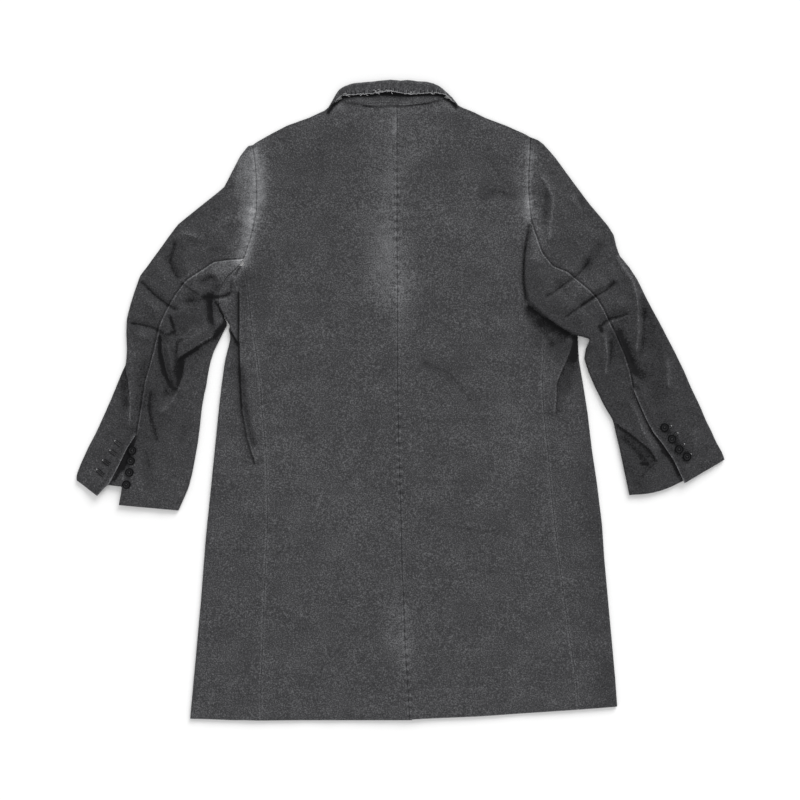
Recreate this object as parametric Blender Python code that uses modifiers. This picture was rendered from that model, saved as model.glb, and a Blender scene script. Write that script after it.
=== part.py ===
"""Single-breasted coat with two-piece sleeves, laid flat on its front with its back uppermost.

Lengths are in millimetres until they reach a mesh, which is in metres. The frame's origin is
under the middle of the coat on the surface that it lies on: +X to the right as the back is
looked at, +Y towards the collar, +Z up. Left and right are those of the view, which are also
the wearer's own, because the back faces up.
"""

import math
from typing import Callable, NamedTuple

import bmesh
import bpy

MM = 0.001

WALL = 2.0
SEAM_GAP = 0.3
LAY_GAP = 0.4
BODY_THICKNESS = 6.4
SLEEVE_THICKNESS = 6.6
SHOULDER_EDGE = 4.4
SHOULDER_SOFTNESS = 16.0
CENTRE_LIFT = 0.9
CENTRE_LIFT_WIDTH = 60.0
SLEEVE_CROWN = 1.2
SIDE_WRAP = 70.0
FRONT_OVERLAP = 20.0
FRONT_STEP = 12.0
NECK_DEPTH_Y = 289.0
FOREARM_SEAM_AT = 0.42
HEM_TUCK = 0.35
VENT_LIFT = 2.6
VENT_LIFT_REACH = 34.0
SLEEVE_REST_GAP = 0.9
COVER_NEAR = 9.0
COVER_FAR = 38.0
COVER_TOP_Y = 302.0
COVER_RISE = 9.0
COVER_LOW_Y = 82.0
COVER_FALL = 12.0
STAND_BELOW_FOLD = 8.5
FOLDS_AT_EDGE = 0.35
EDGE_SHARE = 8.0
FRONT_STEP_START = 2.0
PULL = 4

BUTTON_DIAMETER = 14.0
BUTTON_HEIGHT = 3.2
BUTTON_RIM = 1.8
BUTTON_DISH = 0.8
BUTTON_FLAT_RIM = 0.4
BUTTON_SHOULDER = 0.8
BUTTON_TAPER = 1.0
BUTTON_STEPS = 18
BUTTON_CONTACTS = 8

ARC_STEPS = 5
BACK_COLUMNS = 9
SIDE_STEPS = (5, 2)
TOPSLEEVE_STEPS = (8, 3)
UNDERSLEEVE_STEPS = (7, 4)
FALL_STEPS = (2, 2)
COLLAR_COLUMNS = 15
UNDER_FRONT_STOPS = (0.0, 0.25, 0.5, 0.75, 1.0)
OVER_FRONT_STOPS = (0.0, 0.35, 0.6, 0.75, 0.9, 1.0)
OVER_FRONT_FLAT_STOPS = (0.35, 0.7)
STAND_SHARES = (0.0, 0.5, 1.0)

CLOTH_COLOUR = (0.070, 0.070, 0.074)
CLOTH_DARK_COLOUR = (0.052, 0.052, 0.056)
BUTTON_COLOUR = (0.012, 0.012, 0.013)

Point = tuple[float, float]
Point3 = tuple[float, float, float]
HeightField = Callable[[float, float], float]


class Skin(NamedTuple):
    """One place on the cloth: the point of its outer face and that of its inner face."""

    outer: Point3
    inner: Point3


class SideLevel(NamedTuple):
    """Where a side panel's fold and its side-back seam cross one level of the body."""

    fold: Point
    seam: Point


class SleeveLevel(NamedTuple):
    """One section across a sleeve.

    outer is the fold away from the body, seam the elbow seam or the vent's edge, under the
    undersleeve's own edge, which runs beneath the flap below the vent's top, and inner the
    fold beside the body. Above the elbow seam the last three are one point of the armhole.
    """

    outer: Point
    seam: Point
    under: Point
    inner: Point


class Fold(NamedTuple):
    """A soft crease in the cloth along a line.

    A ridge has a positive height and a trough a negative one. Where reach is given, the cloth
    on the left of the line, seen from start to end, lies over the rest and sinks back over
    that distance.
    """

    start: Point
    end: Point
    width: float
    height: float
    reach: float = 0.0


HEM = [(-346, -525), (-280, -528), (-132, -528), (16, -526), (132, -521), (264, -512), (358, -505)]

LEFT_SIDE = [
    SideLevel(fold=(-346, -525), seam=(-229, -528)),
    SideLevel(fold=(-340, -462), seam=(-229, -462)),
    SideLevel(fold=(-334, -396), seam=(-226, -396)),
    SideLevel(fold=(-328, -330), seam=(-224, -330)),
    SideLevel(fold=(-323, -264), seam=(-221, -264)),
    SideLevel(fold=(-318, -206), seam=(-218, -206)),
    SideLevel(fold=(-311, -140), seam=(-219, -140)),
    SideLevel(fold=(-305, -79), seam=(-221, -79)),
    SideLevel(fold=(-299, -20), seam=(-227, -20)),
    SideLevel(fold=(-294, 25), seam=(-230, 25)),
    SideLevel(fold=(-288, 66), seam=(-235, 66)),
    SideLevel(fold=(-281, 99), seam=(-240, 99)),
    SideLevel(fold=(-281, 123), seam=(-245, 127)),
    SideLevel(fold=(-298, 152), seam=(-247, 152)),
    SideLevel(fold=(-300, 176), seam=(-250, 178)),
    SideLevel(fold=(-289, 198), seam=(-253, 200)),
    SideLevel(fold=(-266, 220), seam=(-257, 221)),
]

RIGHT_SIDE = [
    SideLevel(fold=(358, -505), seam=(294, -510)),
    SideLevel(fold=(355, -462), seam=(290, -462)),
    SideLevel(fold=(349, -396), seam=(280, -396)),
    SideLevel(fold=(343, -330), seam=(271, -330)),
    SideLevel(fold=(337, -264), seam=(262, -264)),
    SideLevel(fold=(333, -206), seam=(255, -206)),
    SideLevel(fold=(325, -140), seam=(248, -140)),
    SideLevel(fold=(316, -79), seam=(243, -79)),
    SideLevel(fold=(309, -20), seam=(237, -20)),
    SideLevel(fold=(302, 25), seam=(234, 25)),
    SideLevel(fold=(295, 66), seam=(236, 66)),
    SideLevel(fold=(293, 99), seam=(237, 99)),
    SideLevel(fold=(292, 124), seam=(237, 124)),
    SideLevel(fold=(277, 145), seam=(235, 145)),
    SideLevel(fold=(248, 165), seam=(231, 163)),
]

CENTRE_BACK = [
    (16, -526), (12, -462), (8, -396), (6, -330), (3, -264), (2, -206), (0, -140), (-2, -79),
    (-3, -20), (-4, 25), (-4, 116), (-4, 182), (-5, 248), (-5, 330), (-5, 406), (-5, 489),
]

LEFT_NECKLINE = [
    (-243, 421), (-234, 426), (-211, 439), (-186, 452), (-150, 465), (-124, 478), (-112, 485),
    (-92, 492), (-66, 492), (-40, 490), (-5, 489),
]

RIGHT_NECKLINE = [
    (215, 434), (206, 438), (175, 452), (137, 465), (118, 474), (100, 480), (84, 486),
    (68, 493), (41, 493), (16, 490), (-5, 489),
]

LEFT_SLEEVE = [
    SleeveLevel(outer=(-251, 418), seam=(-243, 420), under=(-243, 420), inner=(-243, 420)),
    SleeveLevel(outer=(-264, 401), seam=(-238, 386), under=(-238, 386), inner=(-238, 386)),
    SleeveLevel(outer=(-290, 351), seam=(-236, 346), under=(-236, 346), inner=(-236, 346)),
    SleeveLevel(outer=(-328, 320), seam=(-237, 307), under=(-237, 307), inner=(-237, 307)),
    SleeveLevel(outer=(-365, 290), seam=(-246, 267), under=(-246, 267), inner=(-246, 267)),
    SleeveLevel(outer=(-382, 268), seam=(-258, 233), under=(-258, 233), inner=(-268, 226)),
    SleeveLevel(outer=(-397, 247), seam=(-280, 231), under=(-280, 231), inner=(-291, 203)),
    SleeveLevel(outer=(-412, 226), seam=(-307, 227), under=(-307, 227), inner=(-304, 179)),
    SleeveLevel(outer=(-428, 205), seam=(-331, 211), under=(-331, 211), inner=(-302, 153)),
    SleeveLevel(outer=(-436, 183), seam=(-351, 198), under=(-351, 198), inner=(-288, 127)),
    SleeveLevel(outer=(-444, 158), seam=(-369, 175), under=(-369, 175), inner=(-295, 104)),
    SleeveLevel(outer=(-450, 134), seam=(-383, 152), under=(-383, 152), inner=(-306, 82)),
    SleeveLevel(outer=(-451, 109), seam=(-396, 124), under=(-396, 124), inner=(-312, 64)),
    SleeveLevel(outer=(-450, 82), seam=(-405, 86), under=(-405, 86), inner=(-316, 45)),
    SleeveLevel(outer=(-452, 59), seam=(-412, 58), under=(-412, 58), inner=(-319, 26)),
    SleeveLevel(outer=(-464, 31), seam=(-420, 30), under=(-420, 30), inner=(-323, 8)),
    SleeveLevel(outer=(-478, -3), seam=(-425, -3), under=(-425, -3), inner=(-327, -16)),
    SleeveLevel(outer=(-490, -30), seam=(-430, -33), under=(-430, -33), inner=(-330, -45)),
    SleeveLevel(outer=(-501, -54), seam=(-434, -56), under=(-434, -56), inner=(-333, -69)),
    SleeveLevel(outer=(-515, -81), seam=(-449, -80), under=(-452, -82), inner=(-337, -92)),
    SleeveLevel(outer=(-526, -105), seam=(-463, -109), under=(-471, -112), inner=(-342, -119)),
    SleeveLevel(outer=(-532, -121), seam=(-478, -137), under=(-480, -138), inner=(-347, -139)),
    SleeveLevel(outer=(-533, -127), seam=(-488, -147), under=(-458, -143), inner=(-350, -148)),
    SleeveLevel(outer=(-533, -132), seam=(-498, -158), under=(-463, -173), inner=(-365, -182)),
]

RIGHT_SLEEVE = [
    SleeveLevel(outer=(229, 427), seam=(215, 433), under=(215, 433), inner=(215, 433)),
    SleeveLevel(outer=(237, 421), seam=(214, 404), under=(214, 404), inner=(214, 404)),
    SleeveLevel(outer=(257, 398), seam=(212, 376), under=(212, 376), inner=(212, 376)),
    SleeveLevel(outer=(284, 361), seam=(212, 346), under=(212, 346), inner=(212, 346)),
    SleeveLevel(outer=(314, 321), seam=(214, 318), under=(214, 318), inner=(214, 318)),
    SleeveLevel(outer=(342, 288), seam=(217, 292), under=(217, 292), inner=(218, 283)),
    SleeveLevel(outer=(352, 272), seam=(224, 270), under=(224, 270), inner=(209, 259)),
    SleeveLevel(outer=(357, 252), seam=(234, 243), under=(234, 243), inner=(205, 228)),
    SleeveLevel(outer=(363, 236), seam=(252, 221), under=(252, 221), inner=(205, 196)),
    SleeveLevel(outer=(378, 218), seam=(277, 210), under=(277, 210), inner=(211, 163)),
    SleeveLevel(outer=(392, 196), seam=(302, 189), under=(302, 189), inner=(243, 135)),
    SleeveLevel(outer=(405, 170), seam=(322, 171), under=(322, 171), inner=(269, 117)),
    SleeveLevel(outer=(416, 149), seam=(334, 152), under=(334, 152), inner=(292, 106)),
    SleeveLevel(outer=(427, 129), seam=(344, 132), under=(344, 132), inner=(312, 100)),
    SleeveLevel(outer=(441, 102), seam=(357, 104), under=(357, 104), inner=(306, 84)),
    SleeveLevel(outer=(455, 75), seam=(370, 74), under=(370, 74), inner=(304, 68)),
    SleeveLevel(outer=(468, 48), seam=(378, 48), under=(378, 48), inner=(311, 45)),
    SleeveLevel(outer=(480, 20), seam=(384, 18), under=(384, 18), inner=(323, 18)),
    SleeveLevel(outer=(493, -7), seam=(394, -7), under=(400, -7), inner=(337, -10)),
    SleeveLevel(outer=(504, -33), seam=(406, -34), under=(413, -34), inner=(351, -34)),
    SleeveLevel(outer=(513, -51), seam=(417, -54), under=(424, -54), inner=(356, -56)),
    SleeveLevel(outer=(521, -69), seam=(432, -73), under=(439, -73), inner=(363, -86)),
    SleeveLevel(outer=(530, -85), seam=(450, -99), under=(456, -99), inner=(370, -119)),
    SleeveLevel(outer=(535, -96), seam=(467, -132), under=(472, -128), inner=(378, -157)),
]

ARMHOLE_END = 5
LEFT_VENT_TOP = 18
RIGHT_VENT_TOP = 17

HIDDEN_RIGHT_ARMHOLE = [(224, 185), (216, 211), (214, 241), (214, 267), (216, 283)]

COLLAR_TOP = [
    (-116, 484), (-107, 500), (-100, 511), (-90, 518), (-76, 523), (-38, 526), (-6, 528),
    (16, 528), (45, 525), (58, 522), (68, 516), (77, 506), (87, 498), (97, 487),
]

COLLAR_RAW_EDGE = [
    (-107, 491), (-97, 500), (-86, 504), (-69, 504), (-48, 505), (-14, 508), (-2, 505),
    (36, 504), (61, 505), (75, 501), (86, 492),
]

NECK_SEAM = [
    (-111, 482), (-93, 488), (-76, 488), (-43, 484), (-14, 485), (19, 485), (53, 491),
    (67, 494), (88, 485),
]

BODY_FOLDS = [
    Fold(start=(-259, 60), end=(-231, -128), width=7.0, height=5.0, reach=34.0),
    Fold(start=(-262, 88), end=(-303, 158), width=7.0, height=4.0, reach=26.0),
    Fold(start=(-184, 182), end=(-224, 104), width=12.0, height=1.8),
    Fold(start=(284, 84), end=(252, -14), width=8.0, height=-1.6),
    Fold(start=(252, 76), end=(244, 0), width=14.0, height=2.6),
    Fold(start=(136, 402), end=(186, 344), width=15.0, height=-1.8),
    Fold(start=(28, 388), end=(110, 378), width=18.0, height=1.6),
    Fold(start=(26, 66), end=(124, -12), width=16.0, height=-1.5),
    Fold(start=(54, -206), end=(192, -226), width=18.0, height=-1.5),
    Fold(start=(-66, -124), end=(-20, -186), width=16.0, height=1.8),
    Fold(start=(-60, 330), end=(-48, 190), width=26.0, height=1.6),
    Fold(start=(300, -380), end=(318, -300), width=18.0, height=1.8),
]

LEFT_SLEEVE_FOLDS = [
    Fold(start=(-331, 96), end=(-283, 140), width=9.0, height=6.5, reach=40.0),
    Fold(start=(-376, 68), end=(-331, 96), width=9.0, height=6.0, reach=34.0),
    Fold(start=(-372, 262), end=(-350, 196), width=9.0, height=-3.6),
    Fold(start=(-392, 232), end=(-362, 186), width=10.0, height=4.5),
    Fold(start=(-436, 204), end=(-366, 148), width=8.0, height=-4.2),
    Fold(start=(-420, 166), end=(-384, 140), width=10.0, height=4.8),
    Fold(start=(-448, 126), end=(-384, 108), width=8.0, height=-3.8),
    Fold(start=(-398, 104), end=(-374, 24), width=9.0, height=-3.6),
    Fold(start=(-392, 96), end=(-350, 30), width=12.0, height=4.4),
    Fold(start=(-412, 24), end=(-398, -64), width=11.0, height=-3.2),
    Fold(start=(-446, 58), end=(-446, -40), width=12.0, height=3.4),
    Fold(start=(-370, 60), end=(-398, -22), width=9.0, height=2.6),
    Fold(start=(-368, 168), end=(-312, 170), width=10.0, height=-3.6),
    Fold(start=(-300, 240), end=(-268, 262), width=14.0, height=4.0),
]

RIGHT_SLEEVE_FOLDS = [
    Fold(start=(236, 170), end=(316, 232), width=9.0, height=-3.6),
    Fold(start=(250, 192), end=(300, 230), width=10.0, height=4.5),
    Fold(start=(272, 134), end=(352, 194), width=9.0, height=-3.8),
    Fold(start=(290, 158), end=(346, 192), width=10.0, height=4.6),
    Fold(start=(330, 118), end=(380, 144), width=8.0, height=-3.6),
    Fold(start=(362, 236), end=(390, 170), width=10.0, height=3.4),
    Fold(start=(390, 170), end=(388, 78), width=10.0, height=4.0),
    Fold(start=(402, 150), end=(400, 70), width=9.0, height=-2.8),
    Fold(start=(352, 114), end=(396, 30), width=9.0, height=-3.8),
    Fold(start=(337, 112), end=(338, 36), width=12.0, height=3.4),
    Fold(start=(410, -84), end=(354, -38), width=8.0, height=4.0, reach=30.0),
    Fold(start=(440, 74), end=(442, 14), width=12.0, height=2.2),
    Fold(start=(228, 366), end=(248, 250), width=14.0, height=3.2),
    Fold(start=(284, 342), end=(290, 312), width=12.0, height=-2.4),
]

LEFT_BUTTONS = [(-440.5, -83), (-443, -100), (-445, -119), (-450, -139)]

RIGHT_BUTTONS = [(435, -45), (447, -64), (459, -81), (472, -93)]

LEFT_FRONT_NECK = (-124, 476)
RIGHT_FRONT_NECK = (100, 480)


def clear_scene() -> None:
    """Remove every object that the file holds."""
    for existing in list(bpy.data.objects):
        bpy.data.objects.remove(existing, do_unlink=True)


def smoothstep(value: float) -> float:
    """Ease a value between 0 and 1."""
    clamped = min(max(value, 0.0), 1.0)
    return clamped * clamped * (3.0 - 2.0 * clamped)


def mix(first: Point, second: Point, share: float) -> Point:
    """Point a share of the way from the first to the second."""
    return (
        first[0] + (second[0] - first[0]) * share,
        first[1] + (second[1] - first[1]) * share,
    )


def distance_to_line(points: list[Point], x: float, y: float) -> float:
    """Shortest distance from a point in plan to a line of points."""
    nearest = math.inf
    for first, second in zip(points, points[1:]):
        run = (second[0] - first[0], second[1] - first[1])
        length_squared = run[0] ** 2 + run[1] ** 2
        share = ((x - first[0]) * run[0] + (y - first[1]) * run[1]) / length_squared
        foot = mix(first, second, min(max(share, 0.0), 1.0))
        nearest = min(nearest, math.dist(foot, (x, y)))
    return nearest


def resample(points: list[Point], count: int) -> list[Point]:
    """Evenly spaced points along a line of points."""
    lengths = [math.dist(first, second) for first, second in zip(points, points[1:])]
    total = sum(lengths)
    result = []
    for index in range(count):
        remaining = total * index / (count - 1)
        segment = 0
        while segment < len(lengths) - 1 and remaining > lengths[segment]:
            remaining -= lengths[segment]
            segment += 1
        result.append(mix(points[segment], points[segment + 1], remaining / lengths[segment]))
    return result


def inset(points: list[Point], distance: float) -> list[Point]:
    """Move a line of points sideways, to its left for a positive distance."""
    moved = []
    last = len(points) - 1
    for index, (x, y) in enumerate(points):
        before = points[max(index - 1, 0)]
        after = points[min(index + 1, last)]
        run = math.dist(before, after)
        moved.append((
            x - (after[1] - before[1]) / run * distance,
            y + (after[0] - before[0]) / run * distance,
        ))
    return moved


def fold_height(folds: list[Fold], x: float, y: float) -> float:
    """Height that the folds add to the cloth at a point in plan."""
    total = 0.0
    for fold in folds:
        run = (fold.end[0] - fold.start[0], fold.end[1] - fold.start[1])
        length = math.hypot(*run)
        offset = (x - fold.start[0], y - fold.start[1])
        along = (offset[0] * run[0] + offset[1] * run[1]) / length
        across = (run[0] * offset[1] - run[1] * offset[0]) / length
        ends = smoothstep(0.5 + along / (2.0 * fold.width))
        ends *= smoothstep(0.5 + (length - along) / (2.0 * fold.width))
        if fold.reach:
            rise = 0.5 + 0.5 * math.tanh(across / fold.width)
            total += fold.height * ends * rise * math.exp(-max(across, 0.0) / fold.reach)
        else:
            total += fold.height * ends * math.exp(-((across / fold.width) ** 2))
    return total


SHOULDER_LINES = [LEFT_NECKLINE[:7], RIGHT_NECKLINE[:6]]


def body_top(x: float, y: float) -> float:
    """Height of the back's outer skin, which thins to two layers at the shoulder seams."""
    lift = CENTRE_LIFT * math.exp(-((x / CENTRE_LIFT_WIDTH) ** 2))
    full = BODY_THICKNESS + lift + fold_height(BODY_FOLDS, x, y)
    edge = min(distance_to_line(line, x, y) for line in SHOULDER_LINES)
    return SHOULDER_EDGE + (full - SHOULDER_EDGE) * smoothstep(edge / SHOULDER_SOFTNESS)


def right_edge_at(y: float) -> float:
    """Where the body ends under the right sleeve, at one distance up the coat."""
    line = [level.fold for level in RIGHT_SIDE] + HIDDEN_RIGHT_ARMHOLE
    for lower, upper in zip(line, line[1:]):
        if lower[1] <= y <= upper[1]:
            return mix(lower, upper, (y - lower[1]) / (upper[1] - lower[1]))[0]
    return line[-1][0]


def flat_at(height: float) -> HeightField:
    """Cloth that is flat at one height."""

    def flat(x: float, y: float) -> float:
        return height

    return flat


on_surface = flat_at(0.0)


def right_sleeve_rest(x: float, y: float) -> float:
    """The right sleeve lies over the body's edge and falls to the surface beyond it."""
    beyond = x - right_edge_at(y)
    cover = smoothstep((COVER_FAR - beyond) / (COVER_FAR - COVER_NEAR))
    cover *= smoothstep((COVER_TOP_Y - y) / COVER_RISE)
    cover *= smoothstep((y - COVER_LOW_Y) / COVER_FALL)
    return cover * (body_top(x, y) + SLEEVE_REST_GAP)


def cloth_material(name: str, colour: tuple[float, float, float], rough: float) -> bpy.types.Material:
    """Principled material in one colour."""
    material = bpy.data.materials.new(name)
    material.use_nodes = True
    shader = material.node_tree.nodes["Principled BSDF"]
    shader.inputs["Base Color"].default_value = (*colour, 1.0)
    shader.inputs["Roughness"].default_value = rough
    shader.inputs["Metallic"].default_value = 0.0
    return material


def link(mesh: bpy.types.Mesh, name: str, material: bpy.types.Material) -> bpy.types.Object:
    """Put a mesh in the coat's collection as a named object with its own material."""
    piece = bpy.data.objects.new(name, mesh)
    mesh.materials.append(material)
    bpy.data.collections["coat"].objects.link(piece)
    return piece


def laid(place: Point, height: float) -> Skin:
    """Cloth that faces up at a height."""
    return Skin((*place, height), (*place, height - WALL))


def cloth_sheet(name: str, rows: list[list[Skin]], shade: tuple[float, float, float]) -> None:
    """Piece of cloth: a flat slab of two faces whose points are moved to their places."""
    across = len(rows[0]) - 1
    along = len(rows) - 1
    sheet = bmesh.new()
    bmesh.ops.create_grid(sheet, x_segments=across, y_segments=along, size=0.5)
    lower = bmesh.ops.extrude_face_region(sheet, geom=sheet.faces[:], use_keep_orig=True)
    lower_vertices = [item for item in lower["geom"] if isinstance(item, bmesh.types.BMVert)]
    bmesh.ops.translate(sheet, verts=lower_vertices, vec=(0.0, 0.0, -1.0))
    for vertex in sheet.verts:
        skin = rows[round((vertex.co.y + 0.5) * along)][round((vertex.co.x + 0.5) * across)]
        place = skin.inner if vertex.co.z < -0.5 else skin.outer
        vertex.co = [length * MM for length in place]
    bmesh.ops.recalc_face_normals(sheet, faces=sheet.faces)
    if sheet.calc_volume(signed=True) < 0.0:
        bmesh.ops.reverse_faces(sheet, faces=sheet.faces)
    mesh = bpy.data.meshes.new(name)
    sheet.to_mesh(mesh)
    sheet.free()
    mesh.shade_smooth()
    link(mesh, name, cloth_material(name, shade, 0.95))


def wrapped_section(
    edge: Point, fold: Point, end: Point, top: HeightField, rest: HeightField, steps: tuple[int, int],
) -> list[Skin]:
    """Section of cloth from a seam on top, round a fold and back underneath to its other edge.

    Args:
        edge: the seam on top.
        fold: the outermost point of the fold, in plan.
        end: the piece's edge underneath.
        top: height of the outer skin on top.
        rest: height of the outer skin underneath.
        steps: how many steps the top and the underside have.
    """
    width = math.dist(edge, fold)
    radius = (top(*fold) - rest(*fold)) / 2.0
    centre = mix(fold, edge, radius / width)
    low = rest(*centre)
    radius = (top(*centre) - low) / 2.0
    section = []
    for step in range(steps[0]):
        place = mix(edge, centre, step / steps[0])
        section.append(laid(place, top(*place)))
    for step in range(ARC_STEPS + 1):
        angle = math.pi * step / ARC_STEPS
        points = []
        for reach in (radius, radius - WALL):
            place = mix(centre, edge, -reach * math.sin(angle) / math.dist(centre, edge))
            points.append((*place, low + radius + reach * math.cos(angle)))
        section.append(Skin(*points))
    for step in range(1, steps[1] + 1):
        place = mix(centre, end, step / steps[1])
        section.append(Skin((*place, rest(*place)), (*place, rest(*place) + WALL)))
    return section


def back_panel(name: str, side: list[Point], neckline: list[Point]) -> None:
    """Back panel between the centre-back seam and its side seam and armhole.

    Its rows run from the hem up, one for each point of the side, and its top row follows the
    shoulder and the neck.
    """
    turn = 1.0 if side[0][0] < 0 else -1.0
    half_gap = SEAM_GAP / 2.0
    side = inset(side, -turn * half_gap)
    centre = inset(resample(CENTRE_BACK, len(side)), turn * half_gap)
    low, high = sorted((side[0][0], centre[0][0]))
    hem_line = sorted((point for point in HEM if low < point[0] < high), reverse=turn < 0)
    hem = resample([side[0], *hem_line, centre[0]], BACK_COLUMNS + 1)
    top = resample([side[-1], *neckline[1:-1], centre[-1]], BACK_COLUMNS + 1)
    rows = []
    for row, (left, right) in enumerate(zip(side, centre)):
        share = row / (len(side) - 1)
        points = []
        for column in range(BACK_COLUMNS + 1):
            part = column / BACK_COLUMNS
            ruled = mix(left, right, part)
            hem_ruled = mix(side[0], centre[0], part)
            top_ruled = mix(side[-1], centre[-1], part)
            x = ruled[0]
            x += (1.0 - share) * (hem[column][0] - hem_ruled[0]) + share * (top[column][0] - top_ruled[0])
            y = ruled[1]
            y += (1.0 - share) ** PULL * (hem[column][1] - hem_ruled[1])
            y += share ** PULL * (top[column][1] - top_ruled[1])
            points.append(laid((x, y), body_top(x, y)))
        rows.append(points)
    cloth_sheet(name, rows, CLOTH_COLOUR)


def side_panel(name: str, levels: list[SideLevel]) -> None:
    """Side panel from the side-back seam round the side fold to the front's seam."""
    turn = 1.0 if levels[0].fold[0] < 0 else -1.0
    seam = inset([level.seam for level in levels], turn * SEAM_GAP / 2.0)
    rows = []
    for edge, level in zip(seam, levels):
        end = (level.fold[0] + turn * SIDE_WRAP, edge[1])
        rows.append(wrapped_section(edge, level.fold, end, body_top, on_surface, SIDE_STEPS))
    cloth_sheet(name, rows, CLOTH_DARK_COLOUR)


def front_edges(levels: list[SideLevel], armhole: list[Point], neck: Point, turn: float) -> list[tuple]:
    """Outer and inner ends of each level of a front, from the hem to the shoulder."""
    outer = [(level.fold[0] + turn * (SIDE_WRAP + SEAM_GAP), level.seam[1]) for level in levels]
    outer += [(x + turn * SEAM_GAP, y) for x, y in armhole]
    edge_x = turn * FRONT_OVERLAP
    slope_start = (edge_x, NECK_DEPTH_Y)
    straight = [point for point in outer if point[1] < NECK_DEPTH_Y]
    sloped = len(outer) - len(straight)
    inner = [(edge_x, y) for _, y in straight]
    inner += [mix(slope_start, neck, (step + 1) / sloped) for step in range(sloped)]
    return list(zip(outer, inner))


def front_panel(name: str, ends: list[tuple], over: bool) -> None:
    """Front that lies on the surface, or over the other front along the centre."""
    rows = []
    step_start = FRONT_OVERLAP + FRONT_STEP_START
    step_end = step_start + FRONT_STEP
    for outer, inner in ends:
        stops = OVER_FRONT_STOPS if over else UNDER_FRONT_STOPS
        row = [laid(mix(outer, inner, stop), WALL) for stop in stops]
        if over and inner[0] < step_start:
            width = outer[0] - inner[0]
            places = [outer, *(mix(outer, inner, stop) for stop in OVER_FRONT_FLAT_STOPS)]
            places.append(mix(inner, outer, (step_end - inner[0]) / width))
            places.append(mix(inner, outer, (step_start - inner[0]) / width))
            places.append(inner)
            heights = [WALL, WALL, WALL, WALL, 2.0 * WALL + LAY_GAP, 2.0 * WALL + LAY_GAP]
            row = [laid(place, height) for place, height in zip(places, heights)]
        rows.append(row)
    cloth_sheet(name, rows, CLOTH_DARK_COLOUR)


class Sleeve:
    """One two-piece sleeve with its levels, its folds and what it lies on."""

    def __init__(self, side: str, levels: list[SleeveLevel], folds: list[Fold], rest: HeightField,
                 vent_top: int) -> None:
        self.side = side
        self.levels = levels
        self.folds = folds
        self.rest = rest
        self.vent_top = vent_top
        self.turn = 1.0 if side == "left" else -1.0

    def skin(self, level: SleeveLevel) -> HeightField:
        """Height of the outer skin on top, at one level."""
        reach = math.dist(level.outer, level.seam) + math.dist(level.seam, level.inner)

        def height(x: float, y: float) -> float:
            share = min(math.dist(level.outer, (x, y)) / reach, 1.0)
            crown = SLEEVE_CROWN * math.sin(math.pi * share)
            folds = fold_height(self.folds, x, y)
            soft = smoothstep(min(share, 1.0 - share) * EDGE_SHARE)
            kept = FOLDS_AT_EDGE + (1.0 - FOLDS_AT_EDGE) * soft
            return self.rest(x, y) + SLEEVE_THICKNESS + crown + folds * kept

        return height

    def flap_skin(self, index: int) -> HeightField:
        """Height of the topsleeve, whose vent flap lies over the undersleeve."""
        level = self.levels[index]
        plain = self.skin(level)
        amount = smoothstep(index - self.vent_top + 1.0)

        def height(x: float, y: float) -> float:
            near = smoothstep(1.0 - math.dist(level.seam, (x, y)) / VENT_LIFT_REACH)
            return plain(x, y) + VENT_LIFT * amount * near

        return height

    def forearm(self, index: int) -> Point:
        """Point of the seam underneath, where topsleeve and undersleeve meet."""
        level = self.levels[index]
        if index < ARMHOLE_END:
            return level.seam
        point = mix(level.inner, level.outer, FOREARM_SEAM_AT)
        if index == len(self.levels) - 1:
            return mix(self.forearm(index - 1), point, HEM_TUCK)
        return point

    def topsleeve(self) -> None:
        """Outer piece, from the elbow seam round the outer fold to the forearm seam."""
        half_gap = SEAM_GAP / 2.0
        seam = inset([level.seam for level in self.levels], -self.turn * half_gap)
        forearm = [self.forearm(index) for index in range(len(self.levels))]
        forearm = inset(forearm, -self.turn * half_gap)
        rows = []
        for index, level in enumerate(self.levels):
            top = self.flap_skin(index)
            rows.append(wrapped_section(seam[index], level.outer, forearm[index], top, self.rest,
                                        TOPSLEEVE_STEPS))
        cloth_sheet(f"topsleeve_{self.side}", rows, CLOTH_COLOUR)

    def undersleeve(self) -> None:
        """Inner piece, from the elbow seam round the inner fold to the forearm seam."""
        half_gap = SEAM_GAP / 2.0
        seam = inset([level.under for level in self.levels], self.turn * half_gap)
        forearm = [self.forearm(index) for index in range(len(self.levels))]
        forearm = inset(forearm, self.turn * half_gap)
        rows = []
        for index in range(ARMHOLE_END, len(self.levels)):
            level = self.levels[index]
            top = self.skin(level)
            rows.append(wrapped_section(seam[index], level.inner, forearm[index], top, self.rest,
                                        UNDERSLEEVE_STEPS))
        cloth_sheet(f"undersleeve_{self.side}", rows, CLOTH_DARK_COLOUR)

    def height_at(self, x: float, y: float, flap: bool) -> float:
        """Outer skin's height at a point near the cuff."""
        indexes = range(self.vent_top, len(self.levels))
        nearest = min(indexes, key=lambda index: abs(self.levels[index].seam[1] - y))
        skin = self.flap_skin(nearest) if flap else self.skin(self.levels[nearest])
        return skin(x, y)

    def build(self) -> None:
        """Make both pieces."""
        self.topsleeve()
        self.undersleeve()


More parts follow.
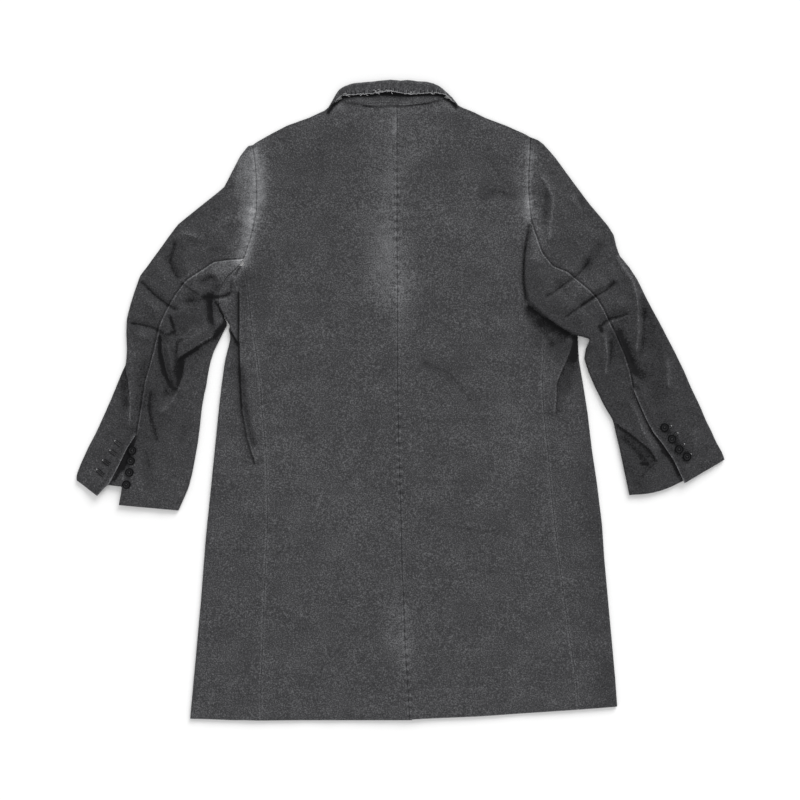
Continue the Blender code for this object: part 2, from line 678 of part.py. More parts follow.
def collar() -> None:
    """Stand on the neck seam, and the fall that turns over it and round to the front."""
    raw_edge = resample(COLLAR_RAW_EDGE, COLLAR_COLUMNS)
    top_line = resample(COLLAR_TOP, COLLAR_COLUMNS)
    stand_height = BODY_THICKNESS + CENTRE_LIFT + WALL + LAY_GAP
    fall_height = stand_height + WALL + LAY_GAP
    neck = resample(NECK_SEAM, COLLAR_COLUMNS)
    stand_rows = []
    for share in STAND_SHARES:
        row = []
        for low, raw, high in zip(neck, raw_edge, top_line):
            upper = mix(high, raw, STAND_BELOW_FOLD / math.dist(high, raw))
            row.append(laid(mix(low, upper, share), stand_height))
        stand_rows.append(row)
    cloth_sheet("collar_stand", stand_rows, CLOTH_DARK_COLOUR)
    fall_rows = []
    for raw, high in zip(raw_edge, top_line):
        fall_rows.append(wrapped_section(raw, high, raw, flat_at(fall_height), on_surface, FALL_STEPS))
    cloth_sheet("collar_fall", fall_rows, CLOTH_COLOUR)


def button(name: str, place: Point3) -> None:
    """Cuff button, a disc turned from its half section with a raised rim round a dished middle."""
    radius = BUTTON_DIAMETER / 2.0
    profile = [
        (0.0, BUTTON_HEIGHT - BUTTON_DISH),
        (radius - 2.0 * BUTTON_RIM, BUTTON_HEIGHT - BUTTON_DISH),
        (radius - BUTTON_RIM, BUTTON_HEIGHT),
        (radius - BUTTON_FLAT_RIM, BUTTON_HEIGHT),
        (radius, BUTTON_HEIGHT - BUTTON_SHOULDER),
        (radius - BUTTON_TAPER, 0.0),
        (0.0, 0.0),
    ]
    mesh = bpy.data.meshes.new(name)
    vertices = [(x * MM, 0.0, z * MM) for x, z in profile]
    edges = [(index, index + 1) for index in range(len(profile) - 1)]
    mesh.from_pydata(vertices, edges, [])
    piece = link(mesh, name, cloth_material(name, BUTTON_COLOUR, 0.35))
    piece.location = [length * MM for length in place]
    turned = piece.modifiers.new("turned", "SCREW")
    turned.steps = BUTTON_STEPS
    turned.render_steps = BUTTON_STEPS
    turned.use_merge_vertices = True
    turned.merge_threshold = 0.00001


def sleeve_buttons(sleeve: Sleeve, places: list[Point], flap: bool) -> None:
    """Row of buttons that lies on a cuff."""
    radius = BUTTON_DIAMETER / 2.0
    for number, (x, y) in enumerate(places, start=1):
        around = [(x, y)]
        for step in range(BUTTON_CONTACTS):
            angle = math.tau * step / BUTTON_CONTACTS
            around.append((x + radius * math.cos(angle), y + radius * math.sin(angle)))
        height = max(sleeve.height_at(px, py, flap) for px, py in around)
        button(f"cuff_button_{sleeve.side}_{number}", (x, y, height + SEAM_GAP))


def main() -> None:
    """Build the coat."""
    clear_scene()
    collection = bpy.data.collections.new("coat")
    bpy.context.scene.collection.children.link(collection)

    left_armhole = [level.seam for level in LEFT_SLEEVE[:ARMHOLE_END + 1]][::-1]
    right_armhole = [level.seam for level in RIGHT_SLEEVE[:ARMHOLE_END + 1]][::-1]
    left_side = [level.seam for level in LEFT_SIDE] + left_armhole
    right_side = [level.seam for level in RIGHT_SIDE] + HIDDEN_RIGHT_ARMHOLE + right_armhole
    back_panel("back_left", left_side, LEFT_NECKLINE)
    back_panel("back_right", right_side, RIGHT_NECKLINE)
    side_panel("side_left", LEFT_SIDE)
    side_panel("side_right", RIGHT_SIDE)
    front_panel("front_left", front_edges(LEFT_SIDE, left_armhole, LEFT_FRONT_NECK, 1.0), False)
    front_panel("front_right", front_edges(RIGHT_SIDE, right_armhole, RIGHT_FRONT_NECK, -1.0), True)
    collar()
    left = Sleeve("left", LEFT_SLEEVE, LEFT_SLEEVE_FOLDS, on_surface, LEFT_VENT_TOP)
    right = Sleeve("right", RIGHT_SLEEVE, RIGHT_SLEEVE_FOLDS, right_sleeve_rest, RIGHT_VENT_TOP)
    left.build()
    right.build()
    sleeve_buttons(left, LEFT_BUTTONS, False)
    sleeve_buttons(right, RIGHT_BUTTONS, True)


main()
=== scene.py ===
"""Looks of a garment-washed tailored coat that lies flat on its front, its back uppermost.

Lengths are in millimetres until they reach a mesh, which is in metres. Left and right are those
of the view from above, which are the wearer's own, because the back faces up.
"""

import logging
import math
from dataclasses import dataclass, replace
from enum import Enum
from functools import lru_cache, partial
from typing import Callable, Sequence

import bpy
import numpy as np
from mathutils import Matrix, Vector


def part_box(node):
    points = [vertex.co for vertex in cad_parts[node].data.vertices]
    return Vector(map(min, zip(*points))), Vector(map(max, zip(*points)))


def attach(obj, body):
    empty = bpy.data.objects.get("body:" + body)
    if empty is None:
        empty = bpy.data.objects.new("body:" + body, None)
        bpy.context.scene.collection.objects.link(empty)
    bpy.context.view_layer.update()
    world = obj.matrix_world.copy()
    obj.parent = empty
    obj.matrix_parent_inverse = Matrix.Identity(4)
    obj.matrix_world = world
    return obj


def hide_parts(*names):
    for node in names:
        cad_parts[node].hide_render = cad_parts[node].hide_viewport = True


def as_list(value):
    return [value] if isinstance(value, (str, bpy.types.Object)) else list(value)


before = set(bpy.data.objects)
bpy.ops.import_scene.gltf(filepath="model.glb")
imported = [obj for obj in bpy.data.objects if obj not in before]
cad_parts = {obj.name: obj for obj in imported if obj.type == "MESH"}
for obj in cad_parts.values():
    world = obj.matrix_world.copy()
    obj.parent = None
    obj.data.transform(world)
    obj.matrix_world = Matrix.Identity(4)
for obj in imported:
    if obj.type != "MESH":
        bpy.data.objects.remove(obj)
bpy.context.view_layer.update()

Array = np.ndarray
Point = tuple[float, float]
Colour = tuple[float, float, float]
HeightField = Callable[[Array], Array]
Finish = bpy.types.Material
Tree = bpy.types.NodeTree
Socket = bpy.types.NodeSocket

LOG = logging.getLogger("coat")
BODY = "root"
# The attribute that tells the finishes how light the cloth is: 0 for plain cloth, above 0 for worn cloth and
# painted highlights, below 0 for painted shade; on the buttons it marks a painted highlight ring.
TONE = "tone"
MM = 0.001
# The cloth's thickness, the gap between pieces at a seam and the gap between layers.
WALL = 2.0
SEAM_GAP = 0.3
HALF_GAP = SEAM_GAP / 2.0
LAY_GAP = 0.4
# The meshes' usual step on the body and on the sleeves, and the steps round a fold.
CELL = 2.4
SLEEVE_CELL = 2.0
ARC_STEPS = 9
# How smooth a line is between its points: 0 is straight and 1 is a full spline.
EASE = 0.25


def smoothstep(value: Array) -> Array:
    """Ease values between 0 and 1.

    Args:
        value: numbers of any size.

    Returns:
        The eased numbers, from 0 to 1.
    """
    clamped = np.clip(value, 0.0, 1.0)
    return clamped * clamped * (3.0 - 2.0 * clamped)


def bell(distance: Array, width: float) -> Array:
    """Bell curve that is 1 at no distance and sinks over a width.

    Args:
        distance: distances, with or without a sign.
        width: where the curve has sunk to about a third.

    Returns:
        One value for each distance.
    """
    return np.exp(-((distance / width) ** 2))


def near_line(line: Array, points: Array, reach: float) -> Array:
    """Which points lie in a line's bounding box, widened by a reach on each side."""
    low = line.min(axis=0) - reach
    high = line.max(axis=0) + reach
    return np.all((points > low) & (points < high), axis=-1)


def glide(rows: Array, steps: Array) -> Array:
    """Values between the rows of a table, partly straight and partly smooth.

    Args:
        rows: the table, one row for each level.
        steps: row numbers, which may be fractions.

    Returns:
        One row of smooth values for each step.
    """
    last = len(rows) - 1
    index = np.clip(np.floor(steps).astype(int), 0, last - 1)
    part = (steps - index)[:, None]
    before = rows[np.maximum(index - 1, 0)]
    low = rows[index]
    high = rows[index + 1]
    after = rows[np.minimum(index + 2, last)]
    curve = 2.0 * low + (high - before) * part
    curve += (2.0 * before - 5.0 * low + 4.0 * high - after) * part**2
    curve += (3.0 * low - before - 3.0 * high + after) * part**3
    straight = low + (high - low) * part
    return straight + EASE * (0.5 * curve - straight)


@lru_cache(maxsize=None)
def smooth_line(points: tuple[Point, ...], count: int) -> Array:
    """Evenly spaced points along a smooth line through a few points.

    Args:
        points: the points that shape the line.
        count: how many points to give back.

    Returns:
        The spaced points, one to a row.
    """
    rows = np.array(points, dtype=float)
    dense = glide(rows, np.linspace(0.0, len(rows) - 1.0, 24 * len(rows)))
    return pace(dense, np.linspace(0.0, 1.0, count))


def ripples(points: Array, wavelength: float, seed: int) -> Array:
    """Random soft undulation, from -1 to 1.

    Args:
        points: places in plan, with x and y on the last axis.
        wavelength: the usual distance between crests.
        seed: which undulation it is.

    Returns:
        One value for each place.
    """
    draw = np.random.default_rng(seed)
    total = np.zeros(points.shape[:-1])
    waves = 14
    for _ in range(waves):
        angle = draw.uniform(0.0, math.tau)
        pitch = wavelength * draw.uniform(0.6, 1.8)
        phase = draw.uniform(0.0, math.tau)
        run = points[..., 0] * math.cos(angle) + points[..., 1] * math.sin(angle)
        total += np.sin(math.tau * run / pitch + phase)
    return total / math.sqrt(2.0 * waves)


class Fold(Enum):
    """What a line of folded cloth does."""

    RIDGE = "stands up"
    TROUGH = "sinks"
    LAP = "cloth left of the line lies over the rest"


@dataclass(frozen=True)
class Crease:
    """One fold in the cloth, along a smooth line.

    A lap's line runs so that the upper cloth is on its left, and that cloth sinks back to the rest over its
    reach. The tone is how strongly the fold is painted: a crest is lighter, partly from wear and partly as a
    painted highlight, while a trough's bottom and the cloth below a lap are painted darker as shade; the core is
    the half width of that line.
    """

    kind: Fold
    line: tuple[Point, ...]
    width: float
    height: float
    reach: float = 30.0
    tone: float = 0.25
    core: float = 1.5

    def relief(self, points: Array) -> tuple[Array, Array]:
        """Height and tone that the fold adds.

        Args:
            points: places in plan, with x and y on the last axis.

        Returns:
            The added heights and the added tones.
        """
        height = np.zeros(points.shape[:-1])
        tone = np.zeros(points.shape[:-1])
        line = smooth_line(self.line, 10 * len(self.line))
        reach = max(self.width, self.reach) if self.kind is Fold.LAP else self.width
        near = near_line(line, points, 3.0 * reach)
        if not near.any():
            return height, tone
        distance, side, along, length = measure(line, points[near])
        taper = 1.6 * self.width
        ends = smoothstep(along / taper) * smoothstep((length - along) / taper)
        if self.kind is Fold.LAP:
            over = np.sign(side) * distance
            rise = 0.5 + 0.5 * np.tanh(over / self.width * 2.2)
            height[near] = self.height * ends * rise * np.exp(-np.maximum(over, 0.0) / self.reach)
            # Painted shadow below the lap's edge, and a lighter lip on the upper cloth that is partly wear and
            # partly a painted highlight.
            below = np.minimum(over, 0.0)
            shade = np.where(over < 0.6, np.exp(below / 2.2) + 0.35 * np.exp(below / 9.0), 0.0)
            worn = bell(over - 2.4, 1.5)
            tone[near] = ends * self.tone * (0.8 * worn - 2.2 * shade)
        elif self.kind is Fold.TROUGH:
            height[near] = -self.height * ends * np.exp(-distance / self.width)
            # The trough's bottom is painted darker as shade in the crease.
            painted_crease_shade = bell(distance, self.core) + 0.45 * np.exp(-distance / self.width)
            tone[near] = -1.7 * self.tone * ends * painted_crease_shade
        else:
            height[near] = self.height * ends * bell(distance, self.width)
            # The ridge's crest is painted lighter, partly wear and partly a painted highlight.
            crest = bell(distance, self.core) + 0.5 * bell(distance, self.width)
            tone[near] = self.tone * ends * crest
        return height, tone


def measure(line: Array, places: Array) -> tuple[Array, Array, Array, float]:
    """Where places lie beside a line.

    Args:
        line: the line's points, one to a row.
        places: places in plan, one to a row.

    Returns:
        Distances to the line, signed sides with the left positive, lengths along the line, and
        the line's whole length.
    """
    nearest = np.full(len(places), np.inf)
    side = np.zeros(len(places))
    along = np.zeros(len(places))
    done = 0.0
    for first, second in zip(line, line[1:]):
        run = second - first
        length = float(np.linalg.norm(run))
        away = places - first
        share = np.clip(away @ run / length**2, 0.0, 1.0)
        gap = np.linalg.norm(away - share[:, None] * run, axis=1)
        closer = gap < nearest
        nearest = np.where(closer, gap, nearest)
        side = np.where(closer, run[0] * away[:, 1] - run[1] * away[:, 0], side)
        along = np.where(closer, done + share * length, along)
        done += length
    return nearest, side, along, done


def ridge(line: Sequence[Point], width: float, height: float, tone: float = 0.22,
          core: float = 1.6) -> Crease:
    """Soft ridge along a line."""
    return Crease(Fold.RIDGE, tuple(line), width, height, tone=tone, core=core)


def trough(line: Sequence[Point], width: float, height: float, tone: float = 0.25,
           core: float = 1.5) -> Crease:
    """Soft trough along a line."""
    return Crease(Fold.TROUGH, tuple(line), width, height, tone=tone, core=core)


def lap(line: Sequence[Point], width: float, height: float, reach: float, tone: float = 0.28) -> Crease:
    """Cloth that lies over the rest along a line."""
    return Crease(Fold.LAP, tuple(line), width, height, reach, tone)


@dataclass(frozen=True)
class WearAndShadeBand:
    """Band of tone: worn-off dye and painted highlights where its strength is positive, painted shade where it
    is negative.
    """

    width: float
    strength: float
    line: tuple[Point, ...]

    def tone(self, points: Array) -> Array:
        """Tone that the band adds.

        Args:
            points: places in plan, with x and y on the last axis.

        Returns:
            The added tones.
        """
        tone = np.zeros(points.shape[:-1])
        straight = len(self.line) == 2
        line = smooth_line(self.line, 2 if straight else 8 * len(self.line))
        near = near_line(line, points, 3.0 * self.width)
        if near.any():
            distance = measure(line, points[near])[0]
            tone[near] = self.strength * bell(distance, self.width)
        return tone


def wear_and_shade_bands(*rows: tuple) -> tuple[WearAndShadeBand, ...]:
    """Bands from rows that give each one's width, its strength and then its points."""
    return tuple(WearAndShadeBand(width, strength, tuple(points)) for width, strength, *points in rows)


@dataclass(frozen=True)
class Seam:
    """Pressed seam: the cloth dips into it, is lighter beside it and puckers along it.

    With a lean the light lies on one side and the dark on the other: 1 puts the light on the
    left of the seam's line and -1 on its right.
    """

    depth: float = 0.45
    dip: float = 1.3
    pucker: float = 0.1
    pitch: float = 14.0
    spread: float = 7.0
    light: float = 0.2
    dark: float = 0.1
    marks: float = 0.0
    phase: float = 0.0
    lean: float = 0.0

    def relief(self, distance: Array, side: Array, along: Array) -> tuple[Array, Array]:
        """Height and tone beside the seam.

        Args:
            distance: how far each place lies from the seam.
            side: on which side it lies, positive on the left.
            along: how far along the seam it lies.

        Returns:
            The added heights and the added tones.
        """
        wander = 0.9 * np.sin(along / 37.0) + 0.7 * np.sin(along / 23.0 + 1.0)
        wave = np.cos(math.tau * along / self.pitch + self.phase + wander)
        near = bell(distance, self.spread)
        height = -self.depth * bell(distance, self.dip) + self.pucker * wave * near
        if self.lean:
            across = np.sign(side) * distance * self.lean
            tone = self.light * bell(across - 1.5, 1.0)
            tone -= self.dark * bell(across + 1.2, 1.5)
        else:
            tone = self.light * bell(distance - 1.6, 1.5)
            tone -= self.dark * bell(distance, 1.1)
        strength = 0.6 + 0.4 * np.sin(along / 61.0 + 0.7)
        tone += self.marks * wave * strength * bell(distance - 1.5, 3.2)
        return height, tone


@dataclass(frozen=True)
class Relief:
    """Folds, worn bands, painted highlights, painted shade and undulation that one part of the coat shares.

    The base tone is how light the cloth is where nothing else changes it, and the crumple is how
    strongly it is rumpled.
    """

    creases: tuple[Crease, ...]
    wear_and_shade_bands: tuple[WearAndShadeBand, ...]
    seed: int
    base_tone: float
    crumple: float

    def height(self, points: Array) -> Array:
        """Height that folds and undulation add at places in plan."""
        total = 0.6 * ripples(points, 75.0, self.seed)
        total += self.crumple * ripples(points, 30.0, self.seed + 1)
        total += 0.22 * self.crumple * ripples(points, 11.0, self.seed + 2)
        return total + sum(crease.relief(points)[0] for crease in self.creases)

    def tone(self, points: Array) -> Array:
        """Tone of the cloth at places in plan."""
        total = self.base_tone + 0.05 * ripples(points, 60.0, self.seed + 3)
        total += 0.03 * ripples(points, 20.0, self.seed + 4)
        patchy = 1.0 + 0.22 * ripples(points, 14.0, self.seed + 5)
        # Worn bands, painted highlights and painted shade, a little patchy.
        total += sum(tone_band.tone(points) * patchy for tone_band in self.wear_and_shade_bands)
        return total + sum(crease.relief(points)[1] for crease in self.creases)


@dataclass(frozen=True)
class Twill:
    """Garment-washed twill: heathered charcoal that grows lighter where the tone attribute is high, from wear
    and painted highlights, and near black where it is low, from painted shade.
    """

    name: str = "washed_twill"
    # The ramp runs from near black, for painted shade and dark seam lines, through plain charcoal, to worn cloth
    # that also carries the painted highlights.
    deep: Colour = (0.0045, 0.0045, 0.0052)
    charcoal: Colour = (0.0455, 0.0455, 0.048)
    faded_and_lit: Colour = (0.185, 0.187, 0.194)
    bare: Colour = (0.40, 0.40, 0.41)
    grain: float = 510.0
    grain_strength: float = 1.9
    fleck_share: float = 0.42
    fleck_strength: float = 0.32
    mottle: float = 34.0
    mottle_strength: float = 0.1
    ribs: float = 0.31 / 0.0011
    rib_height: float = 0.0002
    nap_height: float = 0.0006
    roughness: float = 0.93
    gloss: float = 0.18
    sheen: float = 0.06

    def material(self) -> Finish:
        """Make the finish.

        Returns:
            The node material.
        """
        material, tree, shader = bare_material(self.name, self.roughness, self.gloss)
        shader.inputs["Sheen Weight"].default_value = self.sheen
        shader.inputs["Sheen Roughness"].default_value = 0.5
        place = tree.nodes.new("ShaderNodeTexCoord")
        grain = noise(tree, place, self.grain, 1.0, 0.5)
        fleck = noise(tree, place, self.grain * self.fleck_share, 1.0, 0.5)
        mottle = noise(tree, place, self.mottle, 3.0, 0.55)
        total = blend(tree, tone_value(tree), grain, self.grain_strength)
        total = blend(tree, total, fleck, self.fleck_strength)
        total = blend(tree, total, mottle, self.mottle_strength)
        scale = tree.nodes.new("ShaderNodeMapRange")
        scale.inputs["From Min"].default_value = -1.0
        scale.inputs["From Max"].default_value = 2.0
        ramp = tree.nodes.new("ShaderNodeValToRGB")
        tree.links.new(total, scale.inputs["Value"])
        tree.links.new(scale.outputs["Result"], ramp.inputs["Fac"])
        stops = ramp.color_ramp.elements
        stops[0].color = (*self.deep, 1.0)
        stops[1].color = (*self.bare, 1.0)
        for position, colour in ((1.0 / 3.0, self.charcoal), (2.0 / 3.0, self.faded_and_lit)):
            stops.new(position).color = (*colour, 1.0)
        tree.links.new(ramp.outputs["Color"], shader.inputs["Base Color"])
        self.weave(tree, place, grain, shader)
        return material

    def weave(self, tree: Tree, place: bpy.types.Node, grain: Socket,
              shader: bpy.types.Node) -> None:
        """Raise the twill's diagonal ribs and its nap.

        Args:
            tree: the material's nodes.
            place: the Texture Coordinate node.
            grain: the fine noise.
            shader: the surface shader.
        """
        rib = tree.nodes.new("ShaderNodeTexWave")
        rib.wave_type = "BANDS"
        rib.bands_direction = "DIAGONAL"
        rib.inputs["Scale"].default_value = self.ribs
        rib.inputs["Distortion"].default_value = 1.2
        rib.inputs["Detail"].default_value = 1.0
        tree.links.new(place.outputs["UV"], rib.inputs["Vector"])
        lower = bump(tree, rib.outputs["Fac"], 0.25, self.rib_height)
        upper = bump(tree, grain, 0.45, self.nap_height)
        tree.links.new(lower.outputs["Normal"], upper.inputs["Normal"])
        tree.links.new(upper.outputs["Normal"], shader.inputs["Normal"])


@dataclass(frozen=True)
class Plain:
    """Finish that wanders between two colours with a fine bump, by default that of a thread.

    With by_tone the tone attribute says where the lighter colour lies.
    """

    name: str
    colour: Colour
    worn: Colour
    scale: float = 1500.0
    roughness: float = 0.8
    gloss: float = 0.2
    bump_height: float = 0.0002
    by_tone: bool = False

    def material(self) -> Finish:
        """Make the finish.

        Returns:
            The node material.
        """
        material, tree, shader = bare_material(self.name, self.roughness, self.gloss)
        speckle = noise(tree, tree.nodes.new("ShaderNodeTexCoord"), self.scale, 2.0, 0.5)
        mix = tree.nodes.new("ShaderNodeMix")
        mix.data_type = "RGBA"
        mix.inputs["A"].default_value = (*self.colour, 1.0)
        mix.inputs["B"].default_value = (*self.worn, 1.0)
        share = blend(tree, tone_value(tree), speckle, 0.3) if self.by_tone else speckle
        tree.links.new(share, mix.inputs["Factor"])
        tree.links.new(mix.outputs["Result"], shader.inputs["Base Color"])
        raised = bump(tree, speckle, 0.3, self.bump_height)
        tree.links.new(raised.outputs["Normal"], shader.inputs["Normal"])
        return material


def bare_material(name: str, rough: float, gloss: float) -> tuple[Finish, Tree, bpy.types.Node]:
    """Material with nothing but its shader.

    Args:
        name: the material's name.
        rough: its roughness.
        gloss: its specular level.

    Returns:
        The material, its nodes and its surface shader.
    """
    material = bpy.data.materials.new(name)
    material.use_nodes = True
    shader = material.node_tree.nodes["Principled BSDF"]
    shader.inputs["Roughness"].default_value = rough
    shader.inputs["Specular IOR Level"].default_value = gloss
    return material, material.node_tree, shader


def noise(tree: Tree, place: bpy.types.Node, scale: float, detail: float, rough: float) -> Socket:
    """Add a noise on Object coordinates.

    Args:
        tree: the material's nodes.
        place: the Texture Coordinate node.
        scale: how fine the noise is.
        detail: its octaves.
        rough: how strong its finer octaves are.

    Returns:
        The noise's value socket.
    """
    texture = tree.nodes.new("ShaderNodeTexNoise")
    texture.inputs["Scale"].default_value = scale
    texture.inputs["Detail"].default_value = detail
    texture.inputs["Roughness"].default_value = rough
    tree.links.new(place.outputs["Object"], texture.inputs["Vector"])
    return texture.outputs["Fac"]


def blend(tree: Tree, base: Socket, extra: Socket, amount: float) -> Socket:
    """Add a noise, centred on nothing, to a value.

    Args:
        tree: the material's nodes.
        base: the value so far.
        extra: the noise, from 0 to 1.
        amount: how much of it to add.

    Returns:
        The summed value socket.
    """
    centred = tree.nodes.new("ShaderNodeMath")
    centred.operation = "SUBTRACT"
    centred.inputs[1].default_value = 0.5
    tree.links.new(extra, centred.inputs[0])
    added = tree.nodes.new("ShaderNodeMath")
    added.operation = "MULTIPLY_ADD"
    added.inputs[1].default_value = amount
    tree.links.new(centred.outputs[0], added.inputs[0])
    tree.links.new(base, added.inputs[2])
    return added.outputs[0]


def tone_value(tree: Tree) -> Socket:
    """Add a reader of the tone attribute."""
    reader = tree.nodes.new("ShaderNodeAttribute")
    reader.attribute_name = TONE
    return reader.outputs["Fac"]


def bump(tree: Tree, source: Socket, strength: float, height: float) -> bpy.types.Node:
    """Add a bump.

    Args:
        tree: the material's nodes.
        source: the value that raises it.
        strength: how much of the bump shows.
        height: its height in metres.

    Returns:
        The bump node.
    """
    raised = tree.nodes.new("ShaderNodeBump")
    raised.inputs["Strength"].default_value = strength
    raised.inputs["Distance"].default_value = height
    tree.links.new(source, raised.inputs["Height"])
    return raised


@dataclass
class Shell:
    """Thin shell of cloth that stands for one solid.

    flat is the piece's cut, as width and length, and area its flat area, in metres.
    """

    node: str
    slot: str
    flat: tuple[float, float]
    area: float
    rests_on: tuple[str, ...]

    def build(self, outer: Array, tones: Array, finish: Finish) -> bpy.types.Object:
        """Make the shell from a grid of points on its outer face.

        Args:
            outer: points in millimetres, by row, column and axis.
            tones: the cloth's tone at each point.
            finish: its material.

        Returns:
            The finished piece.
        """
        along, across = outer.shape[:2]
        bpy.ops.object.select_all(action="DESELECT")
        bpy.ops.mesh.primitive_grid_add(x_subdivisions=across - 1, y_subdivisions=along - 1, size=1.0)
        piece = bpy.context.object
        piece.name = f"{self.node}_cloth"
        mesh = piece.data
        place = vertex_places(mesh)
        column = np.rint((place[:, 0] + 0.5) * (across - 1)).astype(int)
        row = np.rint((place[:, 1] + 0.5) * (along - 1)).astype(int)
        mesh.vertices.foreach_set("co", (outer[row, column] * MM).ravel())
        keep_tone(mesh, tones[row, column])
        self.lay_weave(mesh, outer, row, column)
        mesh.update()
        highest = max(mesh.polygons, key=lambda face: face.center.z)
        if highest.normal.z < 0.0:
            bpy.ops.object.mode_set(mode="EDIT")
            bpy.ops.mesh.select_all(action="SELECT")
            bpy.ops.mesh.flip_normals()
            bpy.ops.object.mode_set(mode="OBJECT")
        wall = piece.modifiers.new("wall", "SOLIDIFY")
        wall.thickness = WALL * MM
        wall.offset = -1.0
        bpy.ops.object.modifier_apply(modifier=wall.name)
        bpy.ops.object.shade_smooth_by_angle(angle=math.radians(60.0))
        dress(piece, finish)
        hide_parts(self.node)
        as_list(self.rests_on)
        LOG.info("%s: %d faces", piece.name, len(piece.data.polygons))
        return piece

    @staticmethod
    def lay_weave(mesh: bpy.types.Mesh, outer: Array, row: Array, column: Array) -> None:
        """Give the cloth a UV map in metres, so that its weave follows the piece.

        Args:
            mesh: the shell's mesh.
            outer: points in millimetres, by row, column and axis.
            row: each vertex's row.
            column: each vertex's column.
        """
        across = np.linalg.norm(np.diff(outer, axis=1), axis=2)
        along = np.linalg.norm(np.diff(outer, axis=0), axis=2)
        width = np.pad(np.cumsum(across, axis=1), ((0, 0), (1, 0)))
        length = np.pad(np.cumsum(along, axis=0), ((1, 0), (0, 0))).mean(axis=1)
        at = np.stack([width[row, column], length[row]], axis=1) * MM
        corner = np.empty(len(mesh.loops), dtype=np.int32)
        mesh.loops.foreach_get("vertex_index", corner)
        mesh.uv_layers[0].data.foreach_set("uv", at[corner].ravel())


def spans(first: Array, second: Array, shares: Array) -> Array:
    """Points between two lines, row by row.

    Args:
        first: one line's points.
        second: the other line's points.
        shares: how far each column lies from the first to the second.

    Returns:
        Points by row, column and axis.
    """
    return first[:, None, :] + (second - first)[:, None, :] * shares[None, :, None]


def wrap(edge: Array, fold: Array, end: Array, top: HeightField, rest: HeightField,
         shares: Array, below: int) -> Array:
    """Cloth from a seam on top, round a fold and back underneath to its other edge.

    Args:
        edge: the seam on top, one point to a row.
        fold: the outermost points of the fold.
        end: the edge underneath.
        top: height of the outer face on top.
        rest: height of the outer face underneath.
        shares: where the columns on top lie between the seam and the fold.
        below: how many columns the underside has.

    Returns:
        Points by row, column and axis.
    """
    run = np.linalg.norm(edge - fold, axis=1, keepdims=True)
    toward = (edge - fold) / run
    radius = (top(fold[:, None, :]) - rest(fold[:, None, :])) / 2.0
    centre = fold + toward * radius
    low = rest(centre[:, None, :])
    radius = (top(centre[:, None, :]) - low) / 2.0
    flat_top = spans(edge, centre, shares[:-1])
    angles = np.linspace(0.0, math.pi, ARC_STEPS)
    arc = centre[:, None, :] - toward[:, None, :] * (radius * np.sin(angles))[:, :, None]
    under = spans(centre, end, np.linspace(0.0, 1.0, below + 1)[1:])
    heights = [top(flat_top), low + radius * (1.0 + np.cos(angles)), rest(under)]
    places = np.concatenate([flat_top, arc, under], axis=1)
    return np.concatenate([places, np.concatenate(heights, axis=1)[:, :, None]], axis=2)


def run_length(line: Array) -> Array:
    """Length from a line's start to each of its points."""
    return np.concatenate([[0.0], np.cumsum(np.linalg.norm(np.diff(line, axis=0), axis=1))])


def offset(line: Array, distance: float) -> Array:
    """Move a line sideways, to its left for a positive distance."""
    run = np.gradient(line, axis=0)
    run /= np.linalg.norm(run, axis=1, keepdims=True)
    return line + distance * np.stack([-run[:, 1], run[:, 0]], axis=1)


def pace(line: Array, shares: Array) -> Array:
    """Points at shares of a line's length."""
    run = run_length(line)
    return np.stack([np.interp(shares * run[-1], run, line[:, axis]) for axis in (0, 1)], axis=1)


def columns(width: float, cell: float, both_ends: bool = False) -> Array:
    """Shares of a width, closer together beside its seam at the start, or at both ends.

    Args:
        width: the width in millimetres.
        cell: the usual step.
        both_ends: whether the far end is a seam too.

    Returns:
        Shares from 0 to 1.
    """
    near = np.array([0.0, 0.8, 1.7, 2.8, 4.2])
    far = width - near[::-1] if both_ends else np.array([width])
    start = near[-1] + cell
    stop = far[0] - cell
    middle = np.linspace(start, stop, max(int((stop - start) / cell), 1) + 1)
    return np.concatenate([near, middle, far]) / width


def even_steps(line: Array, cell: float) -> Array:
    """Row numbers of a table that lie a cell apart along one of its lines.

    Args:
        line: the table's own points, one to a row.
        cell: the distance between rows.

    Returns:
        Row numbers, which may be fractions.
    """
    numbers = np.linspace(0.0, len(line) - 1.0, 40 * len(line))
    run = run_length(glide(line, numbers))
    return np.interp(np.linspace(0.0, run[-1], int(run[-1] / cell) + 1), run, numbers)


def seam_relief(line: Array, seam: Seam, points: Array) -> tuple[Array, Array]:
    """Height and tone beside a seam's line.

    Args:
        line: the seam in plan.
        seam: how it is pressed.
        points: places in plan, with x and y on the last axis.

    Returns:
        The added heights and the added tones.
    """
    height = np.zeros(points.shape[:-1])
    tone = np.zeros(points.shape[:-1])
    near = near_line(line, points, 3.0 * seam.spread)
    if near.any():
        distance, side, along, _ = measure(line, points[near])
        height[near], tone[near] = seam.relief(distance, side, along)
    return height, tone


def seams_relief(seams: Sequence[tuple[Array, Seam]], points: Array) -> tuple[Array, Array]:
    """Height and tone that several seams add together."""
    height = np.zeros(points.shape[:-1])
    tone = np.zeros(points.shape[:-1])
    for line, seam in seams:
        added = seam_relief(line, seam, points)
        height += added[0]
        tone += added[1]
    return height, tone


def distance_from(line: Array, points: Array) -> Array:
    """Distance of places in plan from a line."""
    return measure(line, points.reshape(-1, 2))[0].reshape(points.shape[:-1])


def in_metres(plan: Array, heights: Array) -> list[Vector]:
    """Points in metres from places in plan and their heights."""
    return [Vector((x, y, z)) * MM for (x, y), z in zip(plan, heights)]


def on_surface(points: Array) -> Array:
    """Height of the surface that the coat lies on."""
    return np.zeros(points.shape[:-1])


